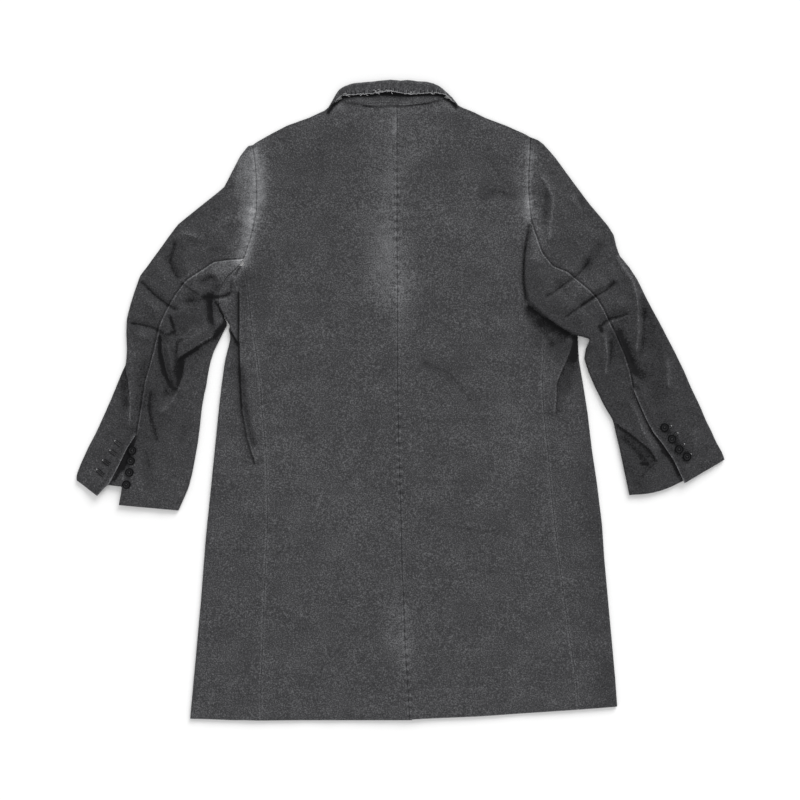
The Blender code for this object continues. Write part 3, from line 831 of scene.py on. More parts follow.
@dataclass
class Body:
    """Back panels, side panels and fronts."""

    hem: tuple[Point, ...]
    left_side: Array
    right_side: Array
    centre_back: tuple[Point, ...]
    left_neckline: tuple[Point, ...]
    right_neckline: tuple[Point, ...]
    left_armhole: Array
    right_armhole: Array
    hidden_armhole: tuple[Point, ...]
    relief: Relief
    thickness: float = 6.4
    shoulder_edge: float = 4.4
    shoulder_softness: float = 16.0
    lift: float = 0.9
    lift_width: float = 60.0
    side_wrap: float = 70.0
    side_width: float = 105.0
    hem_allowance: float = 47.0
    front_overlap: float = 20.0
    front_margin: float = 3.0
    front_step: float = 12.0
    front_columns: int = 60
    neck_depth: float = 289.0
    lapel_start: float = 329.0

    def __post_init__(self) -> None:
        """Draw the seams that the panels share."""
        self.left_seam, self.right_seam = (glide(side[:, 2:], even_steps(side[:, 2:], 8.0))
                                           for side in (self.left_side, self.right_side))
        self.centre_seam = smooth_line(self.centre_back, 130)
        self.shoulders = [smooth_line(self.left_neckline[:7], 30), smooth_line(self.right_neckline[:6], 30)]
        self.armhole_seam = Seam(depth=0.9, dip=1.6, light=0.12, marks=0.25, dark=0.5, pitch=9.0)
        hem = smooth_line(self.hem, 90)
        self.seams = [
            (self.centre_seam, Seam(pucker=0.3, marks=0.3, light=0.13, dark=0.28)),
            (self.left_seam, Seam(light=0.22, marks=0.06, phase=1.0)),
            (self.right_seam, Seam(light=0.22, marks=0.06, phase=2.0)),
            (self.left_armhole, self.armhole_seam),
            (self.right_armhole, replace(self.armhole_seam, marks=0.2)),
            (hem, Seam(depth=0.9, dip=1.8, light=0.0, dark=-0.3, marks=0.05)),
            (offset(hem, self.hem_allowance),
             Seam(depth=0.2, dip=3.0, light=0.06, dark=0.04, marks=0.04, pitch=21.0)),
        ]

    def smooth_height(self, points: Array) -> Array:
        """Height of the back's outer face without its seams."""
        full = self.thickness + self.lift * bell(points[..., 0], self.lift_width)
        full = full + self.relief.height(points)
        edge = np.minimum(*[distance_from(line, points) for line in self.shoulders])
        return self.shoulder_edge + (full - self.shoulder_edge) * smoothstep(edge / self.shoulder_softness)

    def height(self, points: Array) -> Array:
        """Height of the back's outer face."""
        return self.smooth_height(points) + seams_relief(self.seams, points)[0]

    def tone(self, points: Array, wear_and_shade_bands: Sequence[WearAndShadeBand] = ()) -> Array:
        """Tone of the back's cloth, with its worn bands, painted highlights and painted shade, and the bands of
        one panel.
        """
        total = self.relief.tone(points) + seams_relief(self.seams, points)[1]
        patchy = 1.0 + 0.3 * ripples(points, 14.0, 31)
        return total + sum(tone_band.tone(points) * patchy for tone_band in wear_and_shade_bands)

    def back(self, shell: Shell, side: Array, neckline: Sequence[Point], wear_and_shade_bands: Sequence[WearAndShadeBand],
             finish: Finish) -> None:
        """Back panel between the centre-back seam and its side seam and armhole.

        Args:
            shell: the node that it replaces.
            side: its side seam and armhole from the hem up.
            neckline: its shoulder and neck, from the armhole to the middle.
            wear_and_shade_bands: the worn bands of this panel.
            finish: the cloth.
        """
        turn = 1.0 if side[0, 0] < 0.0 else -1.0
        rows = int(run_length(side)[-1] / CELL)
        levels = np.linspace(0.0, 1.0, rows)
        shares = columns(abs(self.centre_seam[0, 0] - side[0, 0]), CELL, True)
        side = offset(pace(side, levels), -HALF_GAP * turn)
        centre = offset(pace(self.centre_seam, levels), HALF_GAP * turn)
        low, high = sorted((side[0, 0], centre[0, 0]))
        inner = sorted((point for point in self.hem if low < point[0] < high),
                       key=lambda point: turn * point[0])
        hem = pace(np.array([side[0], *inner, centre[0]]), shares)
        top = pace(np.array([side[-1], *neckline[1:-1], centre[-1]]), shares)
        places = spans(side, centre, shares)
        level = levels[:, None]
        hem_move = (hem - spans(side[:1], centre[:1], shares)[0])[None]
        top_move = (top - spans(side[-1:], centre[-1:], shares)[0])[None]
        places[..., 0] += (1.0 - level) * hem_move[..., 0] + level * top_move[..., 0]
        places[..., 1] += (1.0 - level) ** 4 * hem_move[..., 1] + level**4 * top_move[..., 1]
        outer = np.concatenate([places, self.height(places)[..., None]], axis=2)
        shell.build(outer, self.tone(places, wear_and_shade_bands), finish)

    def side(self, shell: Shell, levels: Array, finish: Finish) -> None:
        """Side panel from the side-back seam round the side fold to the front's seam.

        Args:
            shell: the node that it replaces.
            levels: the fold and the seam at each level.
            finish: the cloth.
        """
        turn = 1.0 if levels[0, 0] < 0.0 else -1.0
        rows = glide(levels, even_steps(levels[:, 2:], CELL))
        seam = offset(rows[:, 2:], HALF_GAP * turn)
        end = np.stack([rows[:, 0] + turn * self.side_wrap, seam[:, 1]], axis=1)
        shares = columns(self.side_width, CELL)
        outer = wrap(seam, rows[:, :2], end, self.height, on_surface, shares, below=8)
        shell.build(outer, self.tone(outer[..., :2]), finish)

    def front(self, shell: Shell, levels: Array, armhole: Array, neck: Point, over: bool,
              finish: Finish) -> None:
        """Front that lies on the surface, or over the other front along the centre.

        Args:
            shell: the node that it replaces.
            levels: the fold and the seam at each level of its side.
            armhole: its armhole from the side up.
            neck: where its edge meets the neck.
            over: whether it lies over the other front.
            finish: the cloth.
        """
        turn = 1.0 if levels[0, 0] < 0.0 else -1.0
        rows = glide(levels, even_steps(levels[:, 2:], 3.0 * CELL))
        side = np.stack([rows[:, 0] + turn * (self.side_wrap + SEAM_GAP), rows[:, 3]], axis=1)
        above = pace(armhole, np.linspace(0.02, 1.0, 24)) + (turn * SEAM_GAP, 0.0)
        outer_edge = np.concatenate([side, above])
        slope = np.clip((outer_edge[:, 1] - self.neck_depth) / (neck[1] - self.neck_depth), 0.0, 1.0)
        edge_x = turn * self.front_overlap
        inner_edge = np.stack([edge_x + slope * (neck[0] - edge_x), outer_edge[:, 1]], axis=1)
        inner_edge[-1, 1] = neck[1]
        places = spans(outer_edge, inner_edge, np.linspace(0.0, 1.0, self.front_columns))
        height = np.full(places.shape[:2], WALL)
        if over:
            reach = (places[..., 0] - edge_x - self.front_margin) / self.front_step
            height = height + (WALL + LAY_GAP) * (1.0 - smoothstep(reach))
            height = np.where(places[..., 1] > self.lapel_start, WALL, height)
        outer = np.concatenate([places, height[..., None]], axis=2)
        shell.build(outer, self.tone(places), finish)


@dataclass
class Sleeve:
    """Two-piece sleeve with an open vent at its cuff.

    Each row of levels holds four points: the outer fold, the elbow seam of the topsleeve, the
    elbow seam of the undersleeve and the inner fold.
    """

    side: str
    levels: Array
    relief: Relief
    body: Body
    armhole: Array
    vent_top: int
    covers_body: bool
    width: float = 112.0
    thickness: float = 6.6
    crown: float = 1.6
    crown_edge: float = 45.0
    joined_over: float = 26.0
    shoulder_end: float = 0.45
    armhole_end: int = 5
    forearm_at: float = 0.42
    hem_allowance: float = 30.0
    hem_tuck: float = 0.35
    vent_lift: float = 2.6
    vent_reach: float = 34.0
    vent_start: float = 22.0
    rest_gap: float = 0.9
    cover_near: float = 9.0
    cover_far: float = 38.0
    cover_top: float = 302.0
    cover_bottom: float = 82.0
    hem_bow: float = 0.0
    under_fades_and_shades: tuple[WearAndShadeBand, ...] = ()

    def __post_init__(self) -> None:
        """Draw the sleeve's seams and folds."""
        self.turn = 1.0 if self.side == "left" else -1.0
        last = len(self.levels) - 1.0
        fine = np.linspace(0.0, last, 10 * len(self.levels))
        self.outer_line = glide(self.levels[:, :2], fine[fine > self.shoulder_end])
        self.inner_line = glide(self.levels[:, 6:], fine[fine > self.armhole_end])
        elbow = glide(self.levels[:, 2:4], fine[(fine > self.armhole_end) & (fine < self.vent_top)])
        self.vent = glide(self.levels[:, 2:4], np.linspace(self.vent_top, last, 30))
        self.edge_line = right_edge(self.body) if self.covers_body else None
        end = self.levels[-1]
        hem = np.array([end[0:2], end[2:4]])
        under_hem = np.array([end[4:6], end[6:8]])
        self.seams = [
            (elbow, Seam(light=0.55, dark=0.4, marks=0.08, depth=0.6, pitch=12.0, lean=self.turn)),
            (hem, Seam(depth=0.9, light=0.0, dark=-0.35)),
            (under_hem, Seam(depth=0.9, light=0.0, dark=-0.3)),
            (offset(hem, self.hem_allowance * self.turn), Seam(depth=0.2, dip=2.6, light=0.05, dark=0.05)),
            (self.armhole, self.body.armhole_seam),
        ]

    def rest(self, points: Array) -> Array:
        """Height of what the sleeve lies on: the surface, or the body's edge and then the surface."""
        if not self.covers_body:
            return on_surface(points)
        level = points[..., 1]
        beyond = points[..., 0] - np.interp(level, self.edge_line[:, 1], self.edge_line[:, 0])
        cover = smoothstep((self.cover_far - beyond) / (self.cover_far - self.cover_near))
        cover *= smoothstep((self.cover_top - level) / 9.0) * smoothstep((level - self.cover_bottom) / 12.0)
        return cover * (self.body.smooth_height(points) + self.rest_gap)

    def height(self, points: Array) -> Array:
        """Height of the sleeve's outer face on top."""
        edge = np.minimum(distance_from(self.outer_line, points), distance_from(self.inner_line, points))
        crown = self.crown * smoothstep(edge / self.crown_edge)
        folds = self.relief.height(points) * (0.35 + 0.65 * smoothstep(edge / 16.0))
        total = self.rest(points) + self.thickness + crown + folds
        joined = smoothstep(distance_from(self.armhole, points) / self.joined_over)
        total = joined * total + (1.0 - joined) * self.body.smooth_height(points)
        return total + seams_relief(self.seams, points)[0]

    def flap_height(self, points: Array) -> Array:
        """Height of the topsleeve, whose vent flap lies over the undersleeve."""
        distance, _, along, _ = measure(self.vent, points.reshape(-1, 2))
        lift = smoothstep(1.0 - distance / self.vent_reach) * smoothstep(along / self.vent_start)
        return self.height(points) + self.vent_lift * lift.reshape(points.shape[:-1])

    def tone(self, points: Array, flap: bool) -> Array:
        """Tone of the sleeve's cloth, with a worn edge on the vent's flap, and on the undersleeve its own worn
        bands and painted shade, and painted shade under the flap.
        """
        total = self.relief.tone(points) + seams_relief(self.seams, points)[1]
        edge = distance_from(self.vent, points)
        if flap:
            return total + 0.75 * bell(edge, 1.6) - 0.2 * bell(edge - 7.0, 3.0)
        # The undersleeve is painted darker beside the vent, as shade under the flap's edge.
        return total + sum(tone_band.tone(points) for tone_band in self.under_fades_and_shades) - 0.45 * bell(edge, 5.0)

    def forearm(self) -> Array:
        """Points of the seam underneath, where topsleeve and undersleeve meet."""
        under = self.levels[:, 6:] + (self.levels[:, :2] - self.levels[:, 6:]) * self.forearm_at
        under[:self.armhole_end] = self.levels[:self.armhole_end, 2:4]
        under[-1] = under[-2] + (under[-1] - under[-2]) * self.hem_tuck
        return under

    def topsleeve(self, shell: Shell, finish: Finish) -> None:
        """Outer piece, from the elbow seam round the outer fold to the forearm seam."""
        steps = even_steps((self.levels[:, :2] + self.levels[:, 2:4]) / 2.0, SLEEVE_CELL)
        rows = glide(self.levels, steps)
        self.piece(shell, rows[:, 2:4], rows[:, :2], steps, -self.turn, True, finish)

    def undersleeve(self, shell: Shell, finish: Finish) -> None:
        """Inner piece, from the elbow seam round the inner fold to the forearm seam."""
        steps = even_steps((self.levels[:, 4:6] + self.levels[:, 6:]) / 2.0, SLEEVE_CELL)
        steps = np.concatenate([[self.armhole_end], steps[steps > self.armhole_end + 0.02]])
        rows = glide(self.levels, steps)
        self.piece(shell, rows[:, 4:6], rows[:, 6:], steps, self.turn, False, finish)

    def piece(self, shell: Shell, seam: Array, fold: Array, steps: Array, side: float, flap: bool,
              finish: Finish) -> None:
        """One piece of the sleeve, wrapped round one of its folds.

        Args:
            shell: the node that it replaces.
            seam: its edge on top.
            fold: the fold that it wraps round.
            steps: the row numbers of its levels.
            side: which way the seam's half gap lies.
            flap: whether the piece carries the vent's flap.
            finish: the cloth.
        """
        numbers = np.arange(len(self.levels))
        under = self.forearm()
        end = np.stack([np.interp(steps, numbers, under[:, axis]) for axis in (0, 1)], axis=1)
        top = self.flap_height if flap else self.height
        shares = columns(self.width, SLEEVE_CELL)
        gap = HALF_GAP * side
        outer = wrap(offset(seam, gap), fold, offset(end, gap), top, self.rest, shares, below=12)
        tones = self.tone(outer[..., :2], flap)
        if not flap:
            near_hem = smoothstep((steps - len(self.levels) + 3.0) / 2.0)[:, None]
            bow = np.sin(math.pi * np.clip(shares, 0.0, 1.0)) * self.hem_bow
            outer[:, :len(shares), 1] -= near_hem * bow[None, :]
        shell.build(outer, tones, finish)


def right_edge(body: Body) -> Array:
    """Where the body ends under the right sleeve, from the hem up."""
    return np.concatenate([body.right_side[:, :2], np.array(body.hidden_armhole, dtype=float)])


@dataclass
class Collar:
    """Stand on the neck seam, and a raw-edged fall that turns over it and round to the front."""

    top_line: tuple[Point, ...]
    raw_edge: tuple[Point, ...]
    neck_seam: tuple[Point, ...]
    stand_top: tuple[Point, ...]
    stand_height: float = 9.7
    fall_height: float = 12.1
    stand_width: float = 28.0
    stand_cell: float = 1.6
    fall_width: float = 22.0
    fall_cell: float = 1.7
    stand_steps: int = 110
    fall_steps: int = 340
    gape: float = 2.6
    gape_at: float = -17.0
    gape_width: float = 24.0
    # Half width of the painted shadow under the raw edge, and how much wider it grows near the middle.
    gap: float = 3.5
    widest_shadow: float = 2.4
    middle: float = -11.0
    end_length: float = 26.0
    stitch_pitch: float = 7.1
    stitch_start: float = -9.0

    def end_drop(self, points: Array, start: float, drop: float) -> Array:
        """How far the collar sinks toward its ends.

        Args:
            points: places in plan, with x and y on the last axis.
            start: how far from the collar's middle it begins to sink.
            drop: how far it has sunk in the end.

        Returns:
            One length for each place.
        """
        return drop * smoothstep((np.abs(points[..., 0] - self.middle) - start) / self.end_length)

    def stand(self, shell: Shell, finish: Finish) -> None:
        """Stand between the neck seam and the inside of the fall, with painted shadow under the raw edge."""
        neck, upper, raw = (smooth_line(line, self.stand_steps)
                            for line in (self.neck_seam, self.stand_top, self.raw_edge))
        shares = columns(self.stand_width, self.stand_cell)
        places = np.swapaxes(spans(neck, upper, shares), 0, 1)
        from_seam = shares[:, None] * self.stand_width
        height = self.stand_height - 1.6 * bell(from_seam, 1.6) + 0.25 * ripples(places, 26.0, 61)
        height = height - self.end_drop(places, 62.0, 3.0)
        outer = np.concatenate([places, height[..., None]], axis=2)
        inner = 1.0 - self.end_drop(places, 42.0, 1.0)
        tone = 0.1 + 0.1 * ripples(places, 12.0, 62)
        # A lighter line just above the neck seam, a painted highlight on the stand's rolled edge.
        tone += 0.3 * inner * bell(from_seam - 1.0, 1.3)
        # Painted shadow under the fall's raw edge, and the stand hidden under the fall painted darker still as
        # shade.
        gap = self.gap + self.widest_shadow * bell(places[..., 0] + 16.0, 14.0)
        tone -= 3.2 * bell(distance_from(raw, places), gap)
        above = (places[..., 1] > np.interp(places[..., 0], raw[:, 0], raw[:, 1])).astype(float)
        shell.build(outer, tone - 1.5 * above, finish)

    def fall_top(self, raw: Array, points: Array) -> Array:
        """Height of the fall's outer face, which gapes in the middle of its raw edge."""
        edge = distance_from(raw, points)
        middle = bell(points[..., 0] - self.gape_at, self.gape_width)
        wave = 0.35 * ripples(points, 30.0, 73) + 0.18 * ripples(points, 9.0, 74)
        lifted = (0.4 + middle) * self.gape * bell(edge, 9.0)
        level = self.fall_height - self.end_drop(points, 78.0, 5.0)
        return level + wave + lifted - 0.7 * bell(edge, 2.4)

    def ragged_edge(self, count: int) -> Array:
        """Points along the raw edge, which wanders a little."""
        raw = smooth_line(self.raw_edge, count)
        wander = 0.6 * ripples(raw, 11.0, 71) + 0.35 * ripples(raw, 4.5, 72)
        return raw + np.stack([np.zeros(count), wander], axis=1)

    def fall(self, shell: Shell, finish: Finish) -> None:
        """Fall from its raw edge over the fold and down to the surface."""
        raw = self.ragged_edge(self.fall_steps)
        high = smooth_line(self.top_line, self.fall_steps)
        inside = high + (raw - high) * 0.8
        shares = columns(self.fall_width, self.fall_cell)
        outer = wrap(raw, high, inside, partial(self.fall_top, raw), on_surface, shares, below=5)
        places = outer[..., :2]
        tone = -0.06 + 0.14 * ripples(places, 10.0, 75)
        edge = distance_from(raw, places)
        tone += 0.7 * bell(edge, 1.2)
        tone += 0.16 * bell(distance_from(high, places), 3.0)
        turn = (places[..., 0] - self.stitch_start) / self.stitch_pitch
        beside = (turn - np.floor(turn) - 0.74) * self.stitch_pitch
        upright = smoothstep((edge - 0.4) / 1.0) * smoothstep((6.0 - edge) / 1.6)
        strength = 0.35 + 0.65 * smoothstep((places[..., 0] + 20.0) / 12.0)
        tone += 0.6 * strength * upright * bell(beside, 0.9)
        shell.build(outer, tone, finish)

    def edge_points(self, count: int, lift: float) -> list[Vector]:
        """Points on the raw edge, a little above the fall's face, in metres."""
        raw = self.ragged_edge(count)
        return in_metres(raw, self.fall_top(raw, raw) + lift)

    def stitches(self, finish: Finish) -> None:
        """Short upright stitches that hold the raw edge."""
        fine = self.edge_points(400, 0.25)
        draw = np.random.default_rng(81)
        strands = []
        for number in range(-12, 12):
            x = (self.stitch_pitch * number + self.stitch_start) * MM
            foot = min(fine, key=lambda point: abs(point.x - x))
            length = draw.uniform(4.0, 5.8) * MM
            lean = draw.uniform(-0.5, 0.5) * MM
            top = foot + Vector((lean, length, 0.3 * MM))
            middle = (foot + top) / 2.0 + Vector((0.0, 0.0, 0.35)) * MM
            start = foot + Vector((0.0, -0.6, -0.8)) * MM
            strands.append([start, foot, middle, top, top + Vector((0.0, 0.4, -1.2)) * MM])
        sewing("collar_stitches", strands, 1.15, finish)

    def fray(self, finish: Finish) -> None:
        """Loose yarn along the raw edge, with a few loops and twists."""
        draw = np.random.default_rng(82)
        fine = self.edge_points(260, 0.1)
        strands = []
        for start in range(4, 250, 9):
            run = []
            for number in range(start, min(start + 11, 258), 2):
                loose = 0.3 if abs(fine[number].x - self.middle * MM) > 72.0 * MM else 1.0
                stray = Vector((draw.uniform(-0.4, 0.4), draw.uniform(-0.9, 0.7), draw.uniform(0.0, 0.5)))
                run.append(fine[number] + stray * MM * loose)
            strands.append(run)
        for middle, spread, count in TUFTS:
            for _ in range(count):
                x = middle + draw.uniform(-spread, spread)
                foot = min(fine, key=lambda point: abs(point.x - x * MM))
                turn = draw.uniform(0.0, math.tau)
                size = draw.uniform(1.0, 2.8)
                run = [foot]
                for step in range(1, 5):
                    angle = turn + step * draw.uniform(0.5, 1.3)
                    flat = (math.cos(angle) * size, math.sin(angle) * size * 0.7)
                    run.append(run[-1] + Vector((*flat, draw.uniform(0.0, 0.8))) * MM)
                strands.append(run)
        sewing("collar_fray", strands, 0.7, finish)


@dataclass(frozen=True)
class Studio:
    """Pale floor, soft light and a camera straight above, in metres."""

    height: float = 3.0
    view: float = 1.32
    sensor: float = 36.0
    floor_size: float = 9.0
    floor_level: float = -0.0005
    floor_grey: float = 0.93
    surroundings: float = 0.6

    def build(self) -> None:
        """Set up camera, light and floor."""
        scene = bpy.context.scene
        bpy.ops.object.select_all(action="DESELECT")
        bpy.ops.object.camera_add(location=(0.0, 0.0, self.height), rotation=(0.0, 0.0, 0.0))
        camera = bpy.context.object
        camera.name = "camera_above"
        camera.data.sensor_width = self.sensor
        camera.data.lens = self.sensor * self.height / self.view
        scene.camera = camera
        self.light("key", (1.1, 2.3, 1.45), 36.0, 2.3)
        self.light("overhead", (-0.3, -0.4, 3.0), 60.0, 0.5)
        world = bpy.data.worlds.new("studio")
        world.use_nodes = True
        sky = world.node_tree.nodes["Background"]
        sky.inputs["Color"].default_value = (1.0, 1.0, 1.0, 1.0)
        sky.inputs["Strength"].default_value = self.surroundings
        scene.world = world
        scene.view_settings.view_transform = "Standard"
        bpy.ops.mesh.primitive_plane_add(size=self.floor_size, location=(0.0, 0.0, self.floor_level))
        floor = bpy.context.object
        floor.name = "floor"
        material, _, shader = bare_material("pale_floor", 0.9, 0.1)
        shader.inputs["Base Color"].default_value = (*[self.floor_grey] * 3, 1.0)
        floor.data.materials.append(material)

    @staticmethod
    def light(name: str, place: tuple[float, float, float], spread: float, strength: float) -> None:
        """Add a soft light that reaches the whole coat evenly.

        Args:
            name: the light's name.
            place: where it hangs.
            spread: how wide it looks from the coat, in degrees.
            strength: its strength in watts per square metre.
        """
        bpy.ops.object.light_add(type="SUN", location=place)
        lamp = bpy.context.object
        lamp.name = name
        lamp.data.angle = math.radians(spread)
        lamp.data.energy = strength
        lamp.rotation_euler = (-Vector(place)).to_track_quat("-Z", "Y").to_euler()


@dataclass(frozen=True)
class Button:
    """Four-hole button with a raised rim and a painted highlight ring inside it."""

    diameter: float = 14.0
    height: float = 3.2
    corners: int = 40
    rim: float = 1.8
    dish: float = 0.8
    dish_slope: float = 0.7
    worn_edge: float = 0.45
    hole: float = 1.5
    spacing: float = 3.2
    thread_width: float = 0.4
    thread_rise: float = 0.25
    ring_highlight: float = 0.4
    ring_highlight_radius: float = 4.4
    ring_highlight_width: float = 0.5

    def build(self, node: str, finish: Finish, thread: Finish) -> None:
        """Make a button where its node lies, and the thread in its holes.

        Args:
            node: the node that it replaces.
            finish: the button's material.
            thread: the thread's material.
        """
        low, high = (Vector(corner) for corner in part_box(node))
        centre = (low + high) / 2.0
        half = self.spacing / 2.0 * MM
        corners = [(-half, -half), (half, -half), (half, half), (-half, half)]
        piece = self.disc(f"{node}_button", centre)
        for x, y in corners:
            self.drill(piece, centre + Vector((x, y, 0.0)))
        settle(piece)
        bpy.ops.object.shade_smooth_by_angle(angle=math.radians(35.0))
        self.paint_ring_highlight(piece, centre)
        dress(piece, finish)
        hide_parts(node)
        foot = Vector((centre.x, centre.y, high.z - self.dish * MM))
        strands = [self.strand(foot, Vector((x, y, 0.0))) for x, y in corners[:2]]
        sewing(f"{node}_thread", strands, self.thread_width, thread)

    def disc(self, name: str, centre: Vector) -> bpy.types.Object:
        """Make the button's disc with its rim and its dished face.

        Args:
            name: the piece's name.
            centre: its middle, in metres.

        Returns:
            The disc.
        """
        bpy.ops.object.select_all(action="DESELECT")
        bpy.ops.mesh.primitive_cylinder_add(vertices=self.corners, radius=self.diameter / 2.0 * MM,
                                            depth=self.height * MM, location=centre)
        piece = bpy.context.object
        piece.name = name
        bpy.ops.object.mode_set(mode="EDIT")
        bpy.ops.mesh.select_all(action="DESELECT")
        bpy.ops.object.mode_set(mode="OBJECT")
        for face in piece.data.polygons:
            face.select = face.normal.z > 0.9
        bpy.ops.object.mode_set(mode="EDIT")
        bpy.ops.mesh.inset(thickness=self.rim * MM, depth=0.0)
        bpy.ops.mesh.inset(thickness=self.dish_slope * MM, depth=-self.dish * MM)
        bpy.ops.object.mode_set(mode="OBJECT")
        bevel = piece.modifiers.new("worn_edge", "BEVEL")
        bevel.width = self.worn_edge * MM
        bevel.segments = 3
        bevel.limit_method = "ANGLE"
        bpy.ops.object.modifier_apply(modifier=bevel.name)
        return piece

    def drill(self, piece: bpy.types.Object, place: Vector) -> None:
        """Cut one hole right through the button.

        Args:
            piece: the button.
            place: the hole's middle, in metres.
        """
        radius = self.hole / 2.0 * MM
        bpy.ops.mesh.primitive_cylinder_add(vertices=12, radius=radius, depth=0.02, location=place)
        drill = bpy.context.object
        cut = piece.modifiers.new("hole", "BOOLEAN")
        cut.operation = "DIFFERENCE"
        cut.object = drill
        bpy.context.view_layer.objects.active = piece
        bpy.ops.object.modifier_apply(modifier=cut.name)
        bpy.data.objects.remove(drill, do_unlink=True)

    def strand(self, foot: Vector, hole: Vector) -> list[Vector]:
        """Points of a thread that crosses the face between two opposite holes.

        Args:
            foot: the middle of the dished face, in metres.
            hole: where the first hole lies from there.

        Returns:
            The thread's points.
        """
        down = Vector((0.0, 0.0, -self.dish * MM))
        rise = Vector((0.0, 0.0, self.thread_rise * MM))
        inner = hole * 0.8
        return [foot + hole + down, foot + inner + rise, foot - inner + rise, foot - hole + down]

    def paint_ring_highlight(self, piece: bpy.types.Object, centre: Vector) -> None:
        """Paint a lighter ring on the dished face, a painted highlight that the button's finish reads from the
        tone attribute.

        Args:
            piece: the button.
            centre: its middle, in metres.
        """
        place = vertex_places(piece.data)
        reach = np.hypot(place[:, 0] - centre.x, place[:, 1] - centre.y) / MM
        ring = self.ring_highlight * bell(reach - self.ring_highlight_radius, self.ring_highlight_width) * (place[:, 2] > centre.z)
        keep_tone(piece.data, ring)


@dataclass(frozen=True)
class Buttonhole:
    """Buttonhole with a dark slit, dark lines along both sides of its worked band and a light bar tack at its
    outer end; the slit and the lines are painted shadow laid as dark thread.
    """

    width: float = 5.4
    edge: float = 1.5
    edge_lift: float = 0.1
    slit: float = 0.9
    slit_lift: float = 0.35
    stitch: float = 0.6
    stitch_pitch: float = 1.1
    stitch_inset: float = 0.4
    stitch_margin: float = 0.3
    stitch_lift: float = 0.15
    tack: float = 1.5
    tack_half: float = 0.9
    tack_away: float = 1.3
    tack_lift: float = 0.4

    def build(self, name: str, start: Point, end: Point, sleeve: Sleeve,
              threads: tuple[Finish, Finish, Finish]) -> None:
        """Work the buttonhole on a sleeve's flap.

        Args:
            name: which buttonhole it is.
            start: its end away from the vent.
            end: its end beside the vent.
            sleeve: the sleeve that it lies on.
            threads: the dark thread, laid here as painted shadow, the worn and the light thread.
        """
        dark, worn, light = threads
        first = np.array(start, float)
        run = np.array(end, float) - first
        length = float(np.linalg.norm(run))
        along = run / length
        across = np.array([-along[1], along[0]])
        half = self.width / 2.0
        sides = (-1.0, 1.0)
        # Dark lines along both sides stand for the shadow beside the raised worked band: painted shadow.
        edge_shadow_lines = [[first + across * side * half, first + run + across * side * half] for side in sides]
        places = [first + along * self.stitch_pitch * number
                  for number in range(int(length / self.stitch_pitch) + 1)]
        stitches = [[place + across * side * self.stitch_inset,
                     place + across * side * (half - self.stitch_margin)]
                    for place in places for side in sides]
        outer = first - along * self.tack_away
        tack = [outer - across * self.tack_half, outer + across * self.tack_half]
        # The slit and the side lines take the dark thread as painted shadow.
        for part, lines, lift, thickness, finish in (
                ("edge", edge_shadow_lines, self.edge_lift, self.edge, dark),
                ("slit", [[first, first + run]], self.slit_lift, self.slit, dark),
                ("stitches", stitches, self.stitch_lift, self.stitch, worn),
                ("tack", [tack], self.tack_lift, self.tack, light)):
            strands = [self.raised(line, sleeve, lift) for line in lines]
            sewing(f"buttonhole_{name}_{part}", strands, thickness, finish)

    @staticmethod
    def raised(places: Sequence[Array], sleeve: Sleeve, lift: float) -> list[Vector]:
        """Points on the sleeve's flap, a little above its face, in metres."""
        plan = np.array(places)
        return in_metres(plan, sleeve.flap_height(plan[None])[0] + lift)


def vertex_places(mesh: bpy.types.Mesh) -> Array:
    """Each vertex's place in metres, one to a row."""
    place = np.empty(len(mesh.vertices) * 3)
    mesh.vertices.foreach_get("co", place)
    return place.reshape(-1, 3)


def keep_tone(mesh: bpy.types.Mesh, tones: Array) -> None:
    """Store each vertex's tone for the finishes to read."""
    mesh.attributes.new(TONE, "FLOAT", "POINT").data.foreach_set("value", tones)


def settle(piece: bpy.types.Object) -> None:
    """Select one object alone and put its place into its mesh."""
    bpy.ops.object.select_all(action="DESELECT")
    piece.select_set(True)
    bpy.context.view_layer.objects.active = piece
    bpy.ops.object.transform_apply(location=True, rotation=True, scale=True)


def dress(piece: bpy.types.Object, finish: Finish) -> None:
    """Give a piece its finish and let it ride on the coat."""
    piece.data.name = piece.name
    piece.data.materials.clear()
    piece.data.materials.append(finish)
    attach(piece, BODY)


def sewing(name: str, strands: Sequence[Sequence[Vector]], thickness: float, finish: Finish) -> bpy.types.Object:
    """Short lengths of thread as one mesh.

    Args:
        name: the piece's name.
        strands: the points of each length, in metres.
        thickness: the thread's diameter in millimetres.
        finish: its material.

    Returns:
        The finished piece.
    """
    curve = bpy.data.curves.new(name, "CURVE")
    curve.dimensions = "3D"
    curve.bevel_depth = thickness / 2.0 * MM
    curve.bevel_resolution = 1
    curve.use_fill_caps = True
    curve.resolution_u = 3
    for strand in strands:
        spline = curve.splines.new("NURBS")
        spline.points.add(len(strand) - 1)
        for point, place in zip(spline.points, strand):
            point.co = (*place, 1.0)
        spline.use_endpoint_u = True
        spline.order_u = min(3, len(strand))
    bpy.ops.object.select_all(action="DESELECT")
    piece = bpy.data.objects.new(name, curve)
    bpy.context.collection.objects.link(piece)
    piece.select_set(True)
    bpy.context.view_layer.objects.active = piece
    bpy.ops.object.convert(target="MESH")
    piece = bpy.context.object
    bpy.ops.object.shade_smooth()
    dress(piece, finish)
    return piece


# Frayed tufts of the collar: x of the middle, half the spread and how many yarns.
TUFTS = (
    (-87.0, 3.5, 6), (-36.0, 6.0, 10), (-18.0, 8.0, 7), (16.0, 4.0, 6), (-62.0, 12.0, 2), (45.0, 16.0, 2),
)

# Every line below holds x and y in millimetres from the middle of the view from above.
# The hem, from left to right.
HEM = ((-346, -525), (-280, -527), (-132, -527), (16, -525), (132, -521), (264, -512), (358, -505))

